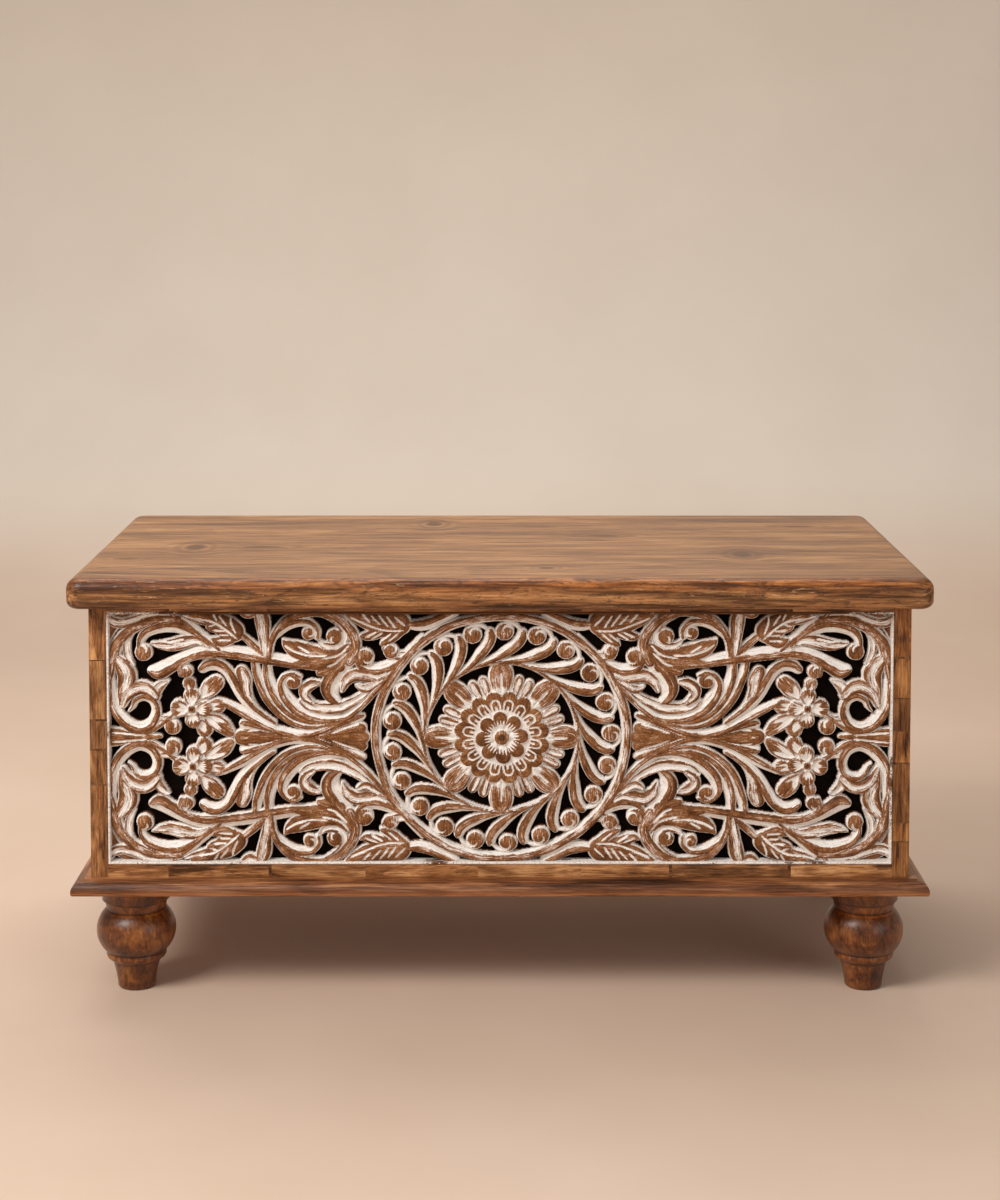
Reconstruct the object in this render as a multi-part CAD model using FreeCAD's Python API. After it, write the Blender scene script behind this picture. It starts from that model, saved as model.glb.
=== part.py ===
"""Carved storage trunk on turned feet: hinged plank lid, boarded carcass, pierced and carved front panel.

Millimetres, +Z up, +Y to the back. The origin lies on the floor under the middle of the trunk.
"""

import FreeCAD
import Part
import math
import os

# Lid
LID_WIDTH = 914.0
LID_DEPTH = 457.0
LID_THICKNESS = 32.0
LID_OVERHANG = 22.0
LID_CORNER_ROUND = 17.0
LID_UPPER_ROUND = 12.0
LID_LOWER_ROUND = 9.0
LID_PLANKS = ("front", "middle_front", "middle_rear", "rear")
LID_GAP = 0.4
BATTEN_WIDTH = 44.0
BATTEN_THICKNESS = 18.0
BATTEN_INSET = 150.0
BATTEN_END_GAP = 28.0
BATTEN_BEVEL = 6.0

# Carcass
CARCASS_HEIGHT = 290.0
SIDE_THICKNESS = 18.0
BACK_THICKNESS = 18.0
BACK_REBATE = 10.0
PLANK_ROWS = ("lower", "middle", "upper")
TONGUE_LENGTH = 6.0
TONGUE_THICKNESS = 6.0
JOINT_FIT = 0.2
FLOOR_THICKNESS = 9.0
FLOOR_FIT = 0.5
FLOOR_RAISE = 20.0
CORNER_BLOCK_LEG = 96.0
CLEAT_WIDTH = 20.0

# Front frame, with a rebate that holds the carved panel and its backing board
STILE_WIDTH = 18.0
BOTTOM_RAIL_HEIGHT = 13.0
TOP_RAIL_LIP = 5.0
PANEL_THICKNESS = 16.0
BACKING_THICKNESS = 5.0
SHOULDER_THICKNESS = 9.0
SHOULDER_WIDTH = 10.0
TENON_LENGTH = 9.0
TENON_THICKNESS = 5.0
TENON_SETBACK = 2.5
PANEL_FIT = 0.3

# Plinth
PLINTH_THICKNESS = 16.0
PLINTH_PROJECTION = 19.0
PLINTH_BOARD_WIDTH = 95.0
PLINTH_FLAT = 8.0
PLINTH_QUIRK = 1.5
PLINTH_NOSE_HEIGHT = 6.0
PLINTH_NOSE_ROUND = 3.0

# Turned feet
FOOT_HEIGHT = 116.0
FOOT_BALL_RADIUS = 42.5
FOOT_INSET = 60.0
FOOT_BOLT_RADIUS = 4.0
FOOT_BOLT_DEPTH = 42.0
FOOT_BOLT_FIT = 0.05

# Radius as a share of the ball's, height as a share of the foot's
FOOT_PLATE_SHARES = ((0.94, 1.0), (0.94, 0.955))
FOOT_COVE_SHARES = ((0.94, 0.955), (0.865, 0.9), (0.86, 0.84))
FOOT_NECK_SHARES = ((0.79, 0.825), (0.745, 0.75))
FOOT_BALL_SHARES = ((0.79, 0.735), (1.0, 0.565), (0.77, 0.355))
FOOT_RING_SHARES = ((0.745, 0.345), (0.755, 0.31), (0.665, 0.275))
FOOT_TAPER_SHARES = ((0.6, 0.255), (0.525, 0.15), (0.475, 0.035))
FOOT_TOE_SHARES = ((0.475, 0.035), (0.455, 0.01), (0.41, 0.0))

# Butt hinges, let into the top edge of the back and the underside of the lid
HINGE_LENGTH = 64.0
HINGE_INSET = 145.0
HINGE_LEAF_WIDTH = 17.0
HINGE_LEAF_THICKNESS = 2.0
HINGE_KNUCKLE_RADIUS = 4.5
HINGE_KNUCKLES = 5
HINGE_KNUCKLE_GAP = 0.3
HINGE_PIN_RADIUS = 2.0
HINGE_PIN_FIT = 0.05
HINGE_PIN_HEAD = 1.2
HINGE_CLEARANCE = 0.6

# Countersunk wood screws
SCREW_RADIUS = 1.7
SCREW_HEAD_RADIUS = 3.4
SCREW_HEAD_LENGTH = 1.9
SCREW_FIT = 0.05
HINGE_SCREW_LENGTH = 16.0
HINGE_SCREW_PITCH = 21.0
BATTEN_SCREW_LENGTH = 36.0

# Carving depths, measured from the back of the panel
WEB_DEPTH = 10.0
RAISED_DEPTH = 13.0
VEIN_DEPTH = 1.4
BORDER_WIDTH = 3.4

# The carving is drawn in pixels of the photograph: its centre, and half its width and height there
CARVING_CENTRE_PX = (500.0, 738.0)
CARVING_HALF_PX = (394.3, 126.6)

# Strokes of the upper left quarter: x, y and full width at each point of the route
QUARTER_STROKES_PX = {
    "corner_lobe": [
        (106, 617, 8), (113, 622, 14), (125, 622, 12), (139, 618.5, 9), (156, 617.5, 8), (176, 616, 7),
    ],
    "left_scroll": [
        (128, 628, 9), (117, 637, 12), (111, 651, 11), (109, 669, 9), (109, 690, 9), (112.5, 709, 9),
        (121, 723, 10), (136, 730.5, 10), (149, 726, 9), (154.5, 714, 8), (152, 703.5, 8), (143, 699, 7),
        (134.5, 702, 7), (131, 710, 6),
    ],
    "left_leaf": [(118, 650, 8), (122, 662, 13), (127, 674, 17), (128, 686, 13), (122, 698, 8)],
    "left_crest": [(121, 703, 9), (129, 693, 13), (141, 690, 15), (153, 689, 13), (162, 683, 9)],
    "left_crescent": [(132, 629, 5), (125, 639, 9), (124.5, 651, 11), (131, 664, 6)],
    "arch_leaf": [
        (135, 638, 6), (143, 629.5, 9), (156, 625, 9), (170, 625, 9), (184, 630, 9), (197, 639, 9),
        (209, 647, 7),
    ],
    "diagonal": [(171, 613, 7), (188, 624, 7), (202, 636, 7), (218, 649, 7)],
    "arch_curl": [(151, 630, 6), (142, 636, 8), (136.5, 646, 8), (139, 655, 8)],
    "tongue_leaf": [(149, 645, 6), (161, 645, 11), (176, 642, 14), (190, 642, 11), (207, 648, 7)],
    "branch": [
        (306, 664, 10), (280, 661.5, 12), (252, 657.5, 14), (226, 654, 14), (205, 652.5, 14), (189, 653, 11),
        (177, 657, 10), (167, 664, 12), (157, 670.5, 16), (148, 671, 11),
    ],
    "branch_curl": [(212, 656, 9), (196, 657, 9), (183, 660.5, 8), (177.5, 668, 8), (180.5, 675, 8)],
    "trumpet_leaf": [
        (202, 668, 11), (214, 665.5, 12), (225, 672, 10), (233, 684, 9), (241, 697, 9), (253, 709, 8),
        (268, 721, 7),
    ],
    "trumpet_side": [(240, 673, 12), (243, 684, 11), (246, 694, 8), (250, 704, 6)],
    "flower_leaf_high": [(200, 700, 9), (209, 690, 17), (216, 681, 11)],
    "flower_leaf_low": [(207, 717, 9), (219, 725, 17), (230, 735, 13)],
    "cradle": [
        (219, 703, 9), (238, 712, 9), (255, 721.5, 9), (272, 730, 9), (290, 735, 9), (306, 735, 9),
        (323, 730.5, 9), (341, 722, 8), (358, 709.5, 8), (373, 694, 8), (387, 677, 8), (401, 661, 8),
    ],
    "cradle_leaf_outer": [
        (254, 662, 9), (257, 681, 10), (265, 699, 10), (277, 714, 9), (294, 724.5, 9), (315, 728, 8),
        (338, 723, 6),
    ],
    "cradle_leaf_inner": [(267, 662, 9), (267, 681, 9), (272, 697, 9), (281, 711, 9), (297, 721, 8)],
    "inner_scroll": [
        (346, 718, 6), (324, 721, 8), (305, 716.5, 10), (291, 706.5, 12), (281.5, 694, 10), (281, 683, 9),
        (287, 676.5, 8), (296, 677, 8),
    ],
    "inner_leaf": [(300, 702, 9), (314, 708, 12), (333, 709, 12), (351, 703, 10), (369, 694, 7)],
    "lobe_leaf": [(318, 682, 9), (306, 687, 13), (304, 696, 11), (313, 706, 8)],
    "drop_leaf": [(347, 661, 10), (337, 673, 13), (328.5, 687, 15), (333, 698, 11), (343, 701, 6)],
    "flame_leaf": [(264, 658, 9), (264, 642, 9), (264, 628, 13), (262, 618, 13), (260, 610, 9)],
    "great_arch": [
        (268, 658, 8), (271, 642, 8), (278, 629, 9), (290, 618.5, 9), (305, 613.5, 9), (320, 613, 9),
        (335, 617, 9), (346, 626, 10), (353, 638, 10), (353.5, 650, 11), (347, 660, 13), (337, 665, 15),
        (322, 664, 15), (303, 664, 11),
    ],
    "great_arch_curl": [(277, 633, 6), (290, 626, 8), (303, 625, 8), (312, 629.5, 8), (315, 637, 7)],
    "great_spiral": [(339, 620, 6), (345, 633, 7), (342, 644, 8), (332, 648, 10), (322, 645, 7)],
    "pointing_leaf": [(284, 645, 9), (296, 651, 16), (310, 654, 16), (326, 656, 13), (341, 653, 10)],
    "ring_curl": [
        (357, 648, 6), (355.5, 660, 8), (363, 669.5, 9), (377, 671, 11), (391, 667, 9), (404, 659, 8),
    ],
    "ring_bud": [(387, 651, 14), (397, 656, 10), (405, 660, 7)],
    "side_leaf": [(343, 688, 7), (351, 680, 13), (364, 681, 15), (377, 680, 11), (391, 672, 7)],
    "veined_leaf": [
        (398.5, 624.5, 26), (386, 624.5, 27), (372, 622, 22), (357, 617.5, 14), (345, 613, 6),
    ],
    "veined_finger_far": [(384, 630, 13), (374, 635, 13), (366, 637, 10), (361, 636.5, 6)],
    "veined_finger_near": [(398, 631, 14), (390.5, 637.5, 14), (384, 642.5, 9)],
    "leaf_bridge": [(406, 622, 11), (424, 623, 10), (441, 618, 9), (462, 611.5, 9)],
    "corner_leaf": [(232.5, 632.5, 24), (226, 628.5, 26), (219, 624.5, 22), (210, 620, 15), (198, 616, 9)],
    "corner_finger_high": [(224, 630.5, 11), (215, 629.5, 11), (207.5, 628, 7)],
    "corner_finger_low": [(231, 639.5, 11), (222, 642.5, 12), (214, 641.5, 7)],
    "prop": [(264, 656, 7), (253, 646, 8), (243, 637, 8)],
    "top_lobe": [(240, 610, 8), (247, 615, 13), (255, 611, 9)],
    "axis_petal": [(326, 731, 6), (341, 725.5, 9), (355, 719, 9)],
    "bud_stem": [(146, 733, 7), (158, 730, 9), (170, 728, 12)],
    "bud_leaf": [(154, 722, 7), (165, 717, 8), (178, 712, 8)],
}

# Knobs, curl ends and petals of the same quarter: x, y and radius
QUARTER_KNOBS_PX = {
    "arch_curl_end": (143.5, 652, 7.5),
    "branch_curl_end": (184.5, 672, 7.0),
    "inner_scroll_end": (293.5, 682, 7.0),
    "great_arch_curl_end": (307.5, 633, 7.5),
    "great_spiral_end": (334, 636.5, 9.0),
    "ring_curl_end": (364, 656, 9.5),
    "bud": (172, 727.5, 8.5),
    "flower_bud": (188, 685, 8.0),
    "flower_side": (216.5, 708.5, 9.5),
    "flower_foot": (203, 732, 9.5),
    "petal_top": (191, 697, 9.5),
    "petal_right": (204, 709, 9.5),
    "petal_bottom": (191, 721.5, 9.5),
    "petal_left": (177.5, 709, 10.5),
}
FLOWER_HEART_PX = (191, 709, 5.0)

# Strokes that lie along the horizontal middle line of the carving
AXIS_STROKES_PX = {
    "axis_left": [
        (304, 738, 5), (280, 738, 7), (262, 738, 13), (249, 738, 22), (241, 738, 22), (236, 738, 13),
    ],
    "axis_right": [
        (302, 738, 5), (322, 738, 9), (338, 738, 18), (350, 738, 28), (360, 738, 30), (368, 738, 20),
    ],
    "axis_bud": [(106, 738, 15), (122, 738, 13), (138, 738, 9), (160, 738, 7)],
}

# The quarter is mirrored four ways, a stroke on the middle line only left and right
QUARTER_FLIPS = ((1, 1), (-1, 1), (1, -1), (-1, -1))
AXIS_FLIPS = ((1, 1), (-1, 1))

# What stands out above the web
RAISED_NAMES = (
    "branch", "great_arch", "cradle", "left_scroll", "veined_leaf", "veined_finger_far", "veined_finger_near",
    "corner_leaf", "corner_finger_high", "corner_finger_low", "pointing_leaf", "axis_right", "petal_top",
    "petal_right", "petal_bottom", "petal_left",
)

# Veins cut into the raised leaves of a quarter: routes, and the width of the cut
VEIN_WIDTH_PX = 1.9
QUARTER_VEINS_PX = {
    "veined_leaf": [
        [(352, 618.5), (362, 623), (378, 629), (390, 631), (402, 630.5)], [(371, 617.5), (379, 625)],
        [(379, 615.5), (388, 626.5)], [(387.5, 617.5), (395, 627.5)], [(395.5, 618), (404.5, 626)],
        [(375, 633), (366, 637)], [(391, 635), (383.5, 641.5)],
    ],
    "corner_leaf": [
        [(203, 619), (213, 622.5), (224.5, 629.5), (236, 639)], [(219, 618.5), (226, 626)],
        [(230.5, 622.5), (235, 632.5)], [(212, 630), (222, 630.5)], [(217.5, 641.5), (229, 640)],
    ],
    "pointing_leaf": [[(287, 646.5), (296, 651), (309, 654.5), (324, 655.5)], [(299, 647.5), (307, 651.5)]],
}

# Medallion, on the middle of the carving
RING_OUTER_RADIUS = 137.0
RING_BAND = 9.0
EYE_RADIUS = 79.5
EYE_BAND = 5.0
SWIRL_COUNT = 21
SWIRL_START = -5.5
SWIRL_BLADE_WIDTH = 14.0
SWIRL_KNOB_RADIUS = 10.0
SWIRL_KNOB_BITE = 0.8
# Turn in degrees from the blade's root, share of the way from eye to ring, share of the blade's width
SWIRL_BLADE_SHARES = (
    (0.0, 0.06, 0.4), (17.0, 0.15, 0.7), (27.0, 0.34, 1.0), (32.0, 0.54, 1.0), (33.2, 0.76, 0.85),
    (33.0, 0.95, 0.55),
)
SWIRL_KNOB_TURN = 26.2

# Rosette: petals as root radius, tip radius, round-end radius and count
ROSETTE_DISC_RADIUS = 58.0
ROSETTE_LARGE_PETALS = (52.0, 80.5, 13.0, 8)
ROSETTE_SMALL_PETALS = (54.0, 69.0, 5.2, 16)
SCALLOP_RADIUS = 53.0
SCALLOP_COUNT = 16
HEART_PETALS = (9.5, 31.0, 8.6, 8)
BUTTON_RADIUS = 9.5
HEART_DEPTH = 14.5

# One overrun serves every through cut
CUT_OVERRUN = 1.0

# Levels and planes that the pieces share
Z_PLINTH = FOOT_HEIGHT
Z_CARCASS = Z_PLINTH + PLINTH_THICKNESS
Z_TOP = Z_CARCASS + CARCASS_HEIGHT
Z_LID = Z_TOP + LID_GAP
Z_FLOOR = Z_CARCASS + FLOOR_RAISE
BODY_X = LID_WIDTH / 2 - LID_OVERHANG
BODY_Y = LID_DEPTH / 2 - LID_OVERHANG
PLINTH_X = BODY_X + PLINTH_PROJECTION
PLINTH_Y = BODY_Y + PLINTH_PROJECTION
INNER_X = BODY_X - SIDE_THICKNESS
FRAME_THICKNESS = PANEL_THICKNESS + BACKING_THICKNESS + SHOULDER_THICKNESS
FRAME_BACK_Y = -BODY_Y + FRAME_THICKNESS
REBATE_Y = -BODY_Y + PANEL_THICKNESS + BACKING_THICKNESS
BACK_Y = BODY_Y - BACK_THICKNESS
FOOT_X = PLINTH_X - FOOT_INSET
FOOT_Y = PLINTH_Y - FOOT_INSET
PANEL_X = BODY_X - STILE_WIDTH
PANEL_LOW_Z = Z_CARCASS + BOTTOM_RAIL_HEIGHT
PANEL_HIGH_Z = Z_TOP - TOP_RAIL_LIP
HINGE_Y = BODY_Y + HINGE_KNUCKLE_RADIUS + HINGE_KNUCKLE_GAP
HINGE_Z = Z_TOP + LID_GAP / 2
HINGE_X = BODY_X - HINGE_INSET
SIDES = {"left": -1, "right": 1}


def vector(x, y, z=0):
    return FreeCAD.Vector(x, y, z)


def block(x0, x1, y0, y1, z0, z1):
    """A box between two planes on each axis, given in either order."""
    low = vector(min(x0, x1), min(y0, y1), min(z0, z1))
    return Part.makeBox(abs(x1 - x0), abs(y1 - y0), abs(z1 - z0), low)


def prism(points, direction):
    """The closed outline through the points, extruded along a direction."""
    return Part.Face(Part.makePolygon(points + points[:1])).extrude(direction)


def screw(head, direction, length, fit=0.0):
    """A countersunk screw with its head's flat face at a point, pointing along a direction."""
    cone = Part.makeCone(SCREW_HEAD_RADIUS + fit, SCREW_RADIUS + fit, SCREW_HEAD_LENGTH, head, direction)
    shank = Part.makeCylinder(SCREW_RADIUS + fit, length + fit, head, direction)
    return cone.fuse(shank).removeSplitter()


# Lid


def lid_planks():
    """One slab with rounded corners and edges, sawn into edge-glued planks."""
    half_x, half_y = LID_WIDTH / 2, LID_DEPTH / 2
    slab = block(-half_x, half_x, -half_y, half_y, Z_LID, Z_LID + LID_THICKNESS)
    corners = [edge for edge in slab.Edges if abs(edge.tangentAt(edge.FirstParameter).z) > 0.5]
    slab = slab.makeFillet(LID_CORNER_ROUND, corners)
    upper = [edge for edge in slab.Edges if edge.BoundBox.ZMin > Z_LID + LID_THICKNESS / 2]
    slab = slab.makeFillet(LID_UPPER_ROUND, upper)
    lower = [edge for edge in slab.Edges if edge.BoundBox.ZMax < Z_LID + LID_THICKNESS / 4]
    slab = slab.makeFillet(LID_LOWER_ROUND, lower)
    width = LID_DEPTH / len(LID_PLANKS)
    planks = {}
    for row, name in enumerate(LID_PLANKS):
        start = -half_y + row * width
        saw = block(-half_x, half_x, start, start + width, Z_LID, Z_LID + LID_THICKNESS)
        planks["lid_plank_" + name] = slab.common(saw)
    rear = planks["lid_plank_rear"]
    for side in SIDES.values():
        rear = rear.cut(lid_hinge_recess(side))
    planks["lid_plank_rear"] = rear
    for head in batten_screw_heads():
        hole = screw(head, vector(0, 0, 1), BATTEN_SCREW_LENGTH, SCREW_FIT)
        for name in planks:
            if planks[name].BoundBox.YMin < head.y < planks[name].BoundBox.YMax:
                planks[name] = planks[name].cut(hole)
    for head in hinge_screw_heads(Z_LID):
        hole = screw(head, vector(0, 0, 1), HINGE_SCREW_LENGTH, SCREW_FIT)
        planks["lid_plank_rear"] = planks["lid_plank_rear"].cut(hole)
    return planks


def batten_span():
    """Front and back ends of a batten, clear of the frame and the back."""
    return FRAME_BACK_Y + BATTEN_END_GAP, BACK_Y - BATTEN_END_GAP


def batten_screw_heads():
    """One screw for each plank, along both battens."""
    width = LID_DEPTH / len(LID_PLANKS)
    front, back = batten_span()
    heads = []
    for side in SIDES.values():
        for row in range(len(LID_PLANKS)):
            middle = -LID_DEPTH / 2 + (row + 0.5) * width
            y = min(max(middle, front + BATTEN_WIDTH / 2), back - BATTEN_WIDTH / 2)
            heads.append(vector(side * (BODY_X - BATTEN_INSET), y, Z_LID - BATTEN_THICKNESS))
    return heads


def lid_batten(side):
    """A cross batten under the planks, bevelled at both lower ends."""
    front, back = batten_span()
    low = Z_LID - BATTEN_THICKNESS
    x = side * (BODY_X - BATTEN_INSET) - BATTEN_WIDTH / 2
    outline = [
        vector(x, front, Z_LID), vector(x, front, low + BATTEN_BEVEL), vector(x, front + BATTEN_BEVEL, low),
        vector(x, back - BATTEN_BEVEL, low), vector(x, back, low + BATTEN_BEVEL), vector(x, back, Z_LID),
    ]
    batten = prism(outline, vector(BATTEN_WIDTH, 0))
    for head in batten_screw_heads():
        batten = batten.cut(screw(head, vector(0, 0, 1), BATTEN_SCREW_LENGTH, SCREW_FIT))
    return batten


# Hinges


def hinge_screw_heads(z):
    """Three screws along each leaf, at the height of the leaf's screwed face."""
    y = (HINGE_Y - HINGE_LEAF_WIDTH + BODY_Y) / 2
    return [
        vector(side * HINGE_X + step * HINGE_SCREW_PITCH, y, z)
        for side in SIDES.values() for step in (-1, 0, 1)
    ]


def lid_hinge_recess(side):
    """Room in the lid's underside for a leaf, and for the knuckles under the overhang."""
    half = HINGE_LENGTH / 2 + JOINT_FIT
    x = side * HINGE_X
    low_y = HINGE_Y - HINGE_LEAF_WIDTH - JOINT_FIT
    leaf = block(x - half, x + half, low_y, BODY_Y, Z_LID, Z_LID + HINGE_LEAF_THICKNESS)
    reach = HINGE_KNUCKLE_RADIUS + HINGE_CLEARANCE
    half += HINGE_PIN_HEAD + HINGE_CLEARANCE
    knuckles = block(x - half, x + half, BODY_Y - HINGE_CLEARANCE, HINGE_Y + reach, Z_LID, Z_LID + reach)
    return leaf.fuse(knuckles)


def hinge_leaf(side, on_lid):
    """A leaf with its share of the knuckles, bored for the pin and the screws."""
    x = side * HINGE_X - HINGE_LENGTH / 2
    low = Z_LID if on_lid else Z_TOP - HINGE_LEAF_THICKNESS
    high = low + HINGE_LEAF_THICKNESS
    plate_end = HINGE_Y - HINGE_KNUCKLE_RADIUS - HINGE_CLEARANCE
    leaf = block(x, x + HINGE_LENGTH, HINGE_Y - HINGE_LEAF_WIDTH, plate_end, low, high)
    pitch = HINGE_LENGTH / HINGE_KNUCKLES
    for index in range(HINGE_KNUCKLES):
        if (index % 2 == 1) != on_lid:
            continue
        start = x + index * pitch + (HINGE_KNUCKLE_GAP if index else 0)
        length = pitch - (HINGE_KNUCKLE_GAP if index else 0)
        centre = vector(start, HINGE_Y, HINGE_Z)
        barrel = Part.makeCylinder(HINGE_KNUCKLE_RADIUS, length, centre, vector(1, 0))
        tab = block(start, start + length, plate_end, HINGE_Y, low, high)
        leaf = leaf.fuse(barrel).fuse(tab)
    bore = Part.makeCylinder(
        HINGE_PIN_RADIUS + HINGE_PIN_FIT, HINGE_LENGTH + 2 * CUT_OVERRUN,
        vector(x - CUT_OVERRUN, HINGE_Y, HINGE_Z), vector(1, 0),
    )
    leaf = leaf.cut(bore)
    face, direction = (low, vector(0, 0, 1)) if on_lid else (high, vector(0, 0, -1))
    for head in hinge_screw_heads(face):
        leaf = leaf.cut(screw(head, direction, HINGE_SCREW_LENGTH, SCREW_FIT))
    return leaf.removeSplitter()


def hinge_pin(side):
    """A plain pin with a flat head at each end of the knuckles."""
    x = side * HINGE_X - HINGE_LENGTH / 2
    axis = vector(1, 0)
    pin = Part.makeCylinder(HINGE_PIN_RADIUS, HINGE_LENGTH, vector(x, HINGE_Y, HINGE_Z), axis)
    for start in (x - HINGE_PIN_HEAD, x + HINGE_LENGTH):
        head_radius = (HINGE_PIN_RADIUS + HINGE_KNUCKLE_RADIUS) / 2
        pin = pin.fuse(Part.makeCylinder(head_radius, HINGE_PIN_HEAD, vector(start, HINGE_Y, HINGE_Z), axis))
    return pin.removeSplitter()


# Boarded sides and back


def tongue(x0, x1, y0, y1, z, fit=0.0):
    """The tongue that stands on a plank's upper edge, along the longer way of its footprint."""
    if abs(x1 - x0) > abs(y1 - y0):
        middle = (y0 + y1) / 2
        half = TONGUE_THICKNESS / 2 + fit
        return block(x0, x1, middle - half, middle + half, z, z + TONGUE_LENGTH + fit)
    middle = (x0 + x1) / 2
    half = TONGUE_THICKNESS / 2 + fit
    return block(middle - half, middle + half, y0, y1, z, z + TONGUE_LENGTH + fit)


def plank_wall(x0, x1, y0, y1):
    """Rows of tongued and grooved planks over a footprint, from the plinth to the top."""
    height = CARCASS_HEIGHT / len(PLANK_ROWS)
    planks = []
    for row in range(len(PLANK_ROWS)):
        low = Z_CARCASS + row * height
        plank = block(x0, x1, y0, y1, low, low + height)
        if row > 0:
            plank = plank.cut(tongue(x0, x1, y0, y1, low, JOINT_FIT))
        if row < len(PLANK_ROWS) - 1:
            plank = plank.fuse(tongue(x0, x1, y0, y1, low + height))
        planks.append(plank.removeSplitter())
    return planks


def side_planks(side):
    """Planks from the front frame to the back, rebated at the rear for the back planks."""
    outer, inner = side * BODY_X, side * INNER_X
    rebate = block(inner, inner + side * BACK_REBATE, BACK_Y, BODY_Y, Z_CARCASS, Z_TOP + TONGUE_LENGTH)
    return [plank.cut(rebate) for plank in plank_wall(outer, inner, FRAME_BACK_Y, BODY_Y)]


def back_planks():
    """Planks that lie in the side planks' rebates, the top one let in for the hinges."""
    half = INNER_X + BACK_REBATE
    planks = plank_wall(-half, half, BACK_Y, BODY_Y)
    top = planks[-1]
    reach = HINGE_LENGTH / 2 + JOINT_FIT
    for side in SIDES.values():
        x = side * HINGE_X
        low_y = HINGE_Y - HINGE_LEAF_WIDTH - JOINT_FIT
        top = top.cut(block(x - reach, x + reach, low_y, BODY_Y, Z_TOP - HINGE_LEAF_THICKNESS, Z_TOP))
    for head in hinge_screw_heads(Z_TOP):
        top = top.cut(screw(head, vector(0, 0, -1), HINGE_SCREW_LENGTH, SCREW_FIT))
    planks[-1] = top
    return planks


# Front frame


def bottom_tenon(side, fit=0.0):
    """Tenon of the bottom rail, behind its face."""
    start = side * PANEL_X
    low = Z_CARCASS + TENON_SETBACK
    high = Z_CARCASS + BOTTOM_RAIL_HEIGHT - TENON_SETBACK
    middle = -BODY_Y + PANEL_THICKNESS / 2
    half = TENON_THICKNESS / 2 + fit
    end = start + side * (TENON_LENGTH + fit)
    return block(start, end, middle - half, middle + half, low - fit, high + fit)


def top_tenon(side, fit=0.0):
    """Tenon of the top rail, in the shoulder behind the rebate."""
    start = side * (PANEL_X - SHOULDER_WIDTH)
    low = Z_TOP - TOP_RAIL_LIP - SHOULDER_WIDTH + TENON_SETBACK
    high = Z_TOP - TENON_SETBACK
    middle = REBATE_Y + SHOULDER_THICKNESS / 2
    half = TENON_THICKNESS / 2 + fit
    end = start + side * (TENON_LENGTH + fit)
    return block(start, end, middle - half, middle + half, low - fit, high + fit)


def front_stile(side):
    """A corner stile, rebated on its inner edge and mortised for both rails."""
    outer, face, shoulder = side * BODY_X, side * PANEL_X, side * (PANEL_X - SHOULDER_WIDTH)
    outline = [
        vector(outer, -BODY_Y, Z_CARCASS), vector(face, -BODY_Y, Z_CARCASS),
        vector(face, REBATE_Y, Z_CARCASS),
        vector(shoulder, REBATE_Y, Z_CARCASS), vector(shoulder, FRAME_BACK_Y, Z_CARCASS),
        vector(outer, FRAME_BACK_Y, Z_CARCASS),
    ]
    stile = prism(outline, vector(0, 0, CARCASS_HEIGHT))
    return stile.cut(bottom_tenon(side, JOINT_FIT)).cut(top_tenon(side, JOINT_FIT))


def front_rail(z0, face_z, shoulder_z, tenon):
    """A rail from z0 to face_z in front of the rebate and to shoulder_z behind it, with its tenons."""
    half = PANEL_X - SHOULDER_WIDTH
    front = block(-PANEL_X, PANEL_X, -BODY_Y, REBATE_Y, z0, face_z)
    behind = block(-half, half, REBATE_Y, FRAME_BACK_Y, z0, shoulder_z)
    rail = front.fuse(behind)
    for side in SIDES.values():
        rail = rail.fuse(tenon(side))
    return rail.removeSplitter()


def backing_board():
    """Thin board behind the carving, in the same rebate."""
    half = PANEL_X - PANEL_FIT
    front = -BODY_Y + PANEL_THICKNESS
    return block(-half, half, front, REBATE_Y, PANEL_LOW_Z + PANEL_FIT, PANEL_HIGH_Z - PANEL_FIT)


# Carved panel, drawn flat with its back on the drawing plane


def carving_scale():
    """Millimetres for each pixel, across and up."""
    half_height = (PANEL_HIGH_Z - PANEL_LOW_Z) / 2
    return PANEL_X / CARVING_HALF_PX[0], half_height / CARVING_HALF_PX[1]


def on_carving(x_px, y_px, flip):
    """A place in the photograph, put into one of the mirrored quarters."""
    across, up = carving_scale()
    x = flip[0] * (x_px - CARVING_CENTRE_PX[0]) * across
    return vector(x, flip[1] * (CARVING_CENTRE_PX[1] - y_px) * up)


def on_drawing(wire):
    """The flat face inside a wire, always on the same side of the drawing plane."""
    return Part.Face(Part.Plane(), wire)


def ribbon(route):
    """A flat face along a smooth route of (point, width), with round ends."""
    points = [point for point, width in route]
    line = Part.BSplineCurve()
    line.interpolate(points)
    tangents = [vector(*line.tangent(line.parameter(point))[0]) for point in points]
    left, right = [], []
    for (point, width), tangent in zip(route, tangents):
        normal = vector(-tangent.y, tangent.x) * (width / 2)
        left.append(point + normal)
        right.append(point - normal)
    flanks = []
    for flank in (left, right):
        curve = Part.BSplineCurve()
        curve.interpolate(flank)
        flanks.append(curve.toShape())
    start = Part.Arc(left[0], points[0] - tangents[0] * (route[0][1] / 2), right[0]).toShape()
    end = Part.Arc(right[-1], points[-1] + tangents[-1] * (route[-1][1] / 2), left[-1]).toShape()
    return on_drawing(Part.Wire([start, flanks[1], end, flanks[0]]))


def disc(centre, radius):
    return on_drawing(Part.Wire(Part.makeCircle(radius, centre)))


def stroke(route_px, flip):
    across = carving_scale()[0]
    return ribbon([(on_carving(x, y, flip), width * across) for x, y, width in route_px])


def veins(flip):
    """The narrow cuts of one quarter's leaves."""
    routes = [route for leaf in QUARTER_VEINS_PX.values() for route in leaf]
    return [stroke([(x, y, VEIN_WIDTH_PX) for x, y in route], flip) for route in routes]


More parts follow.
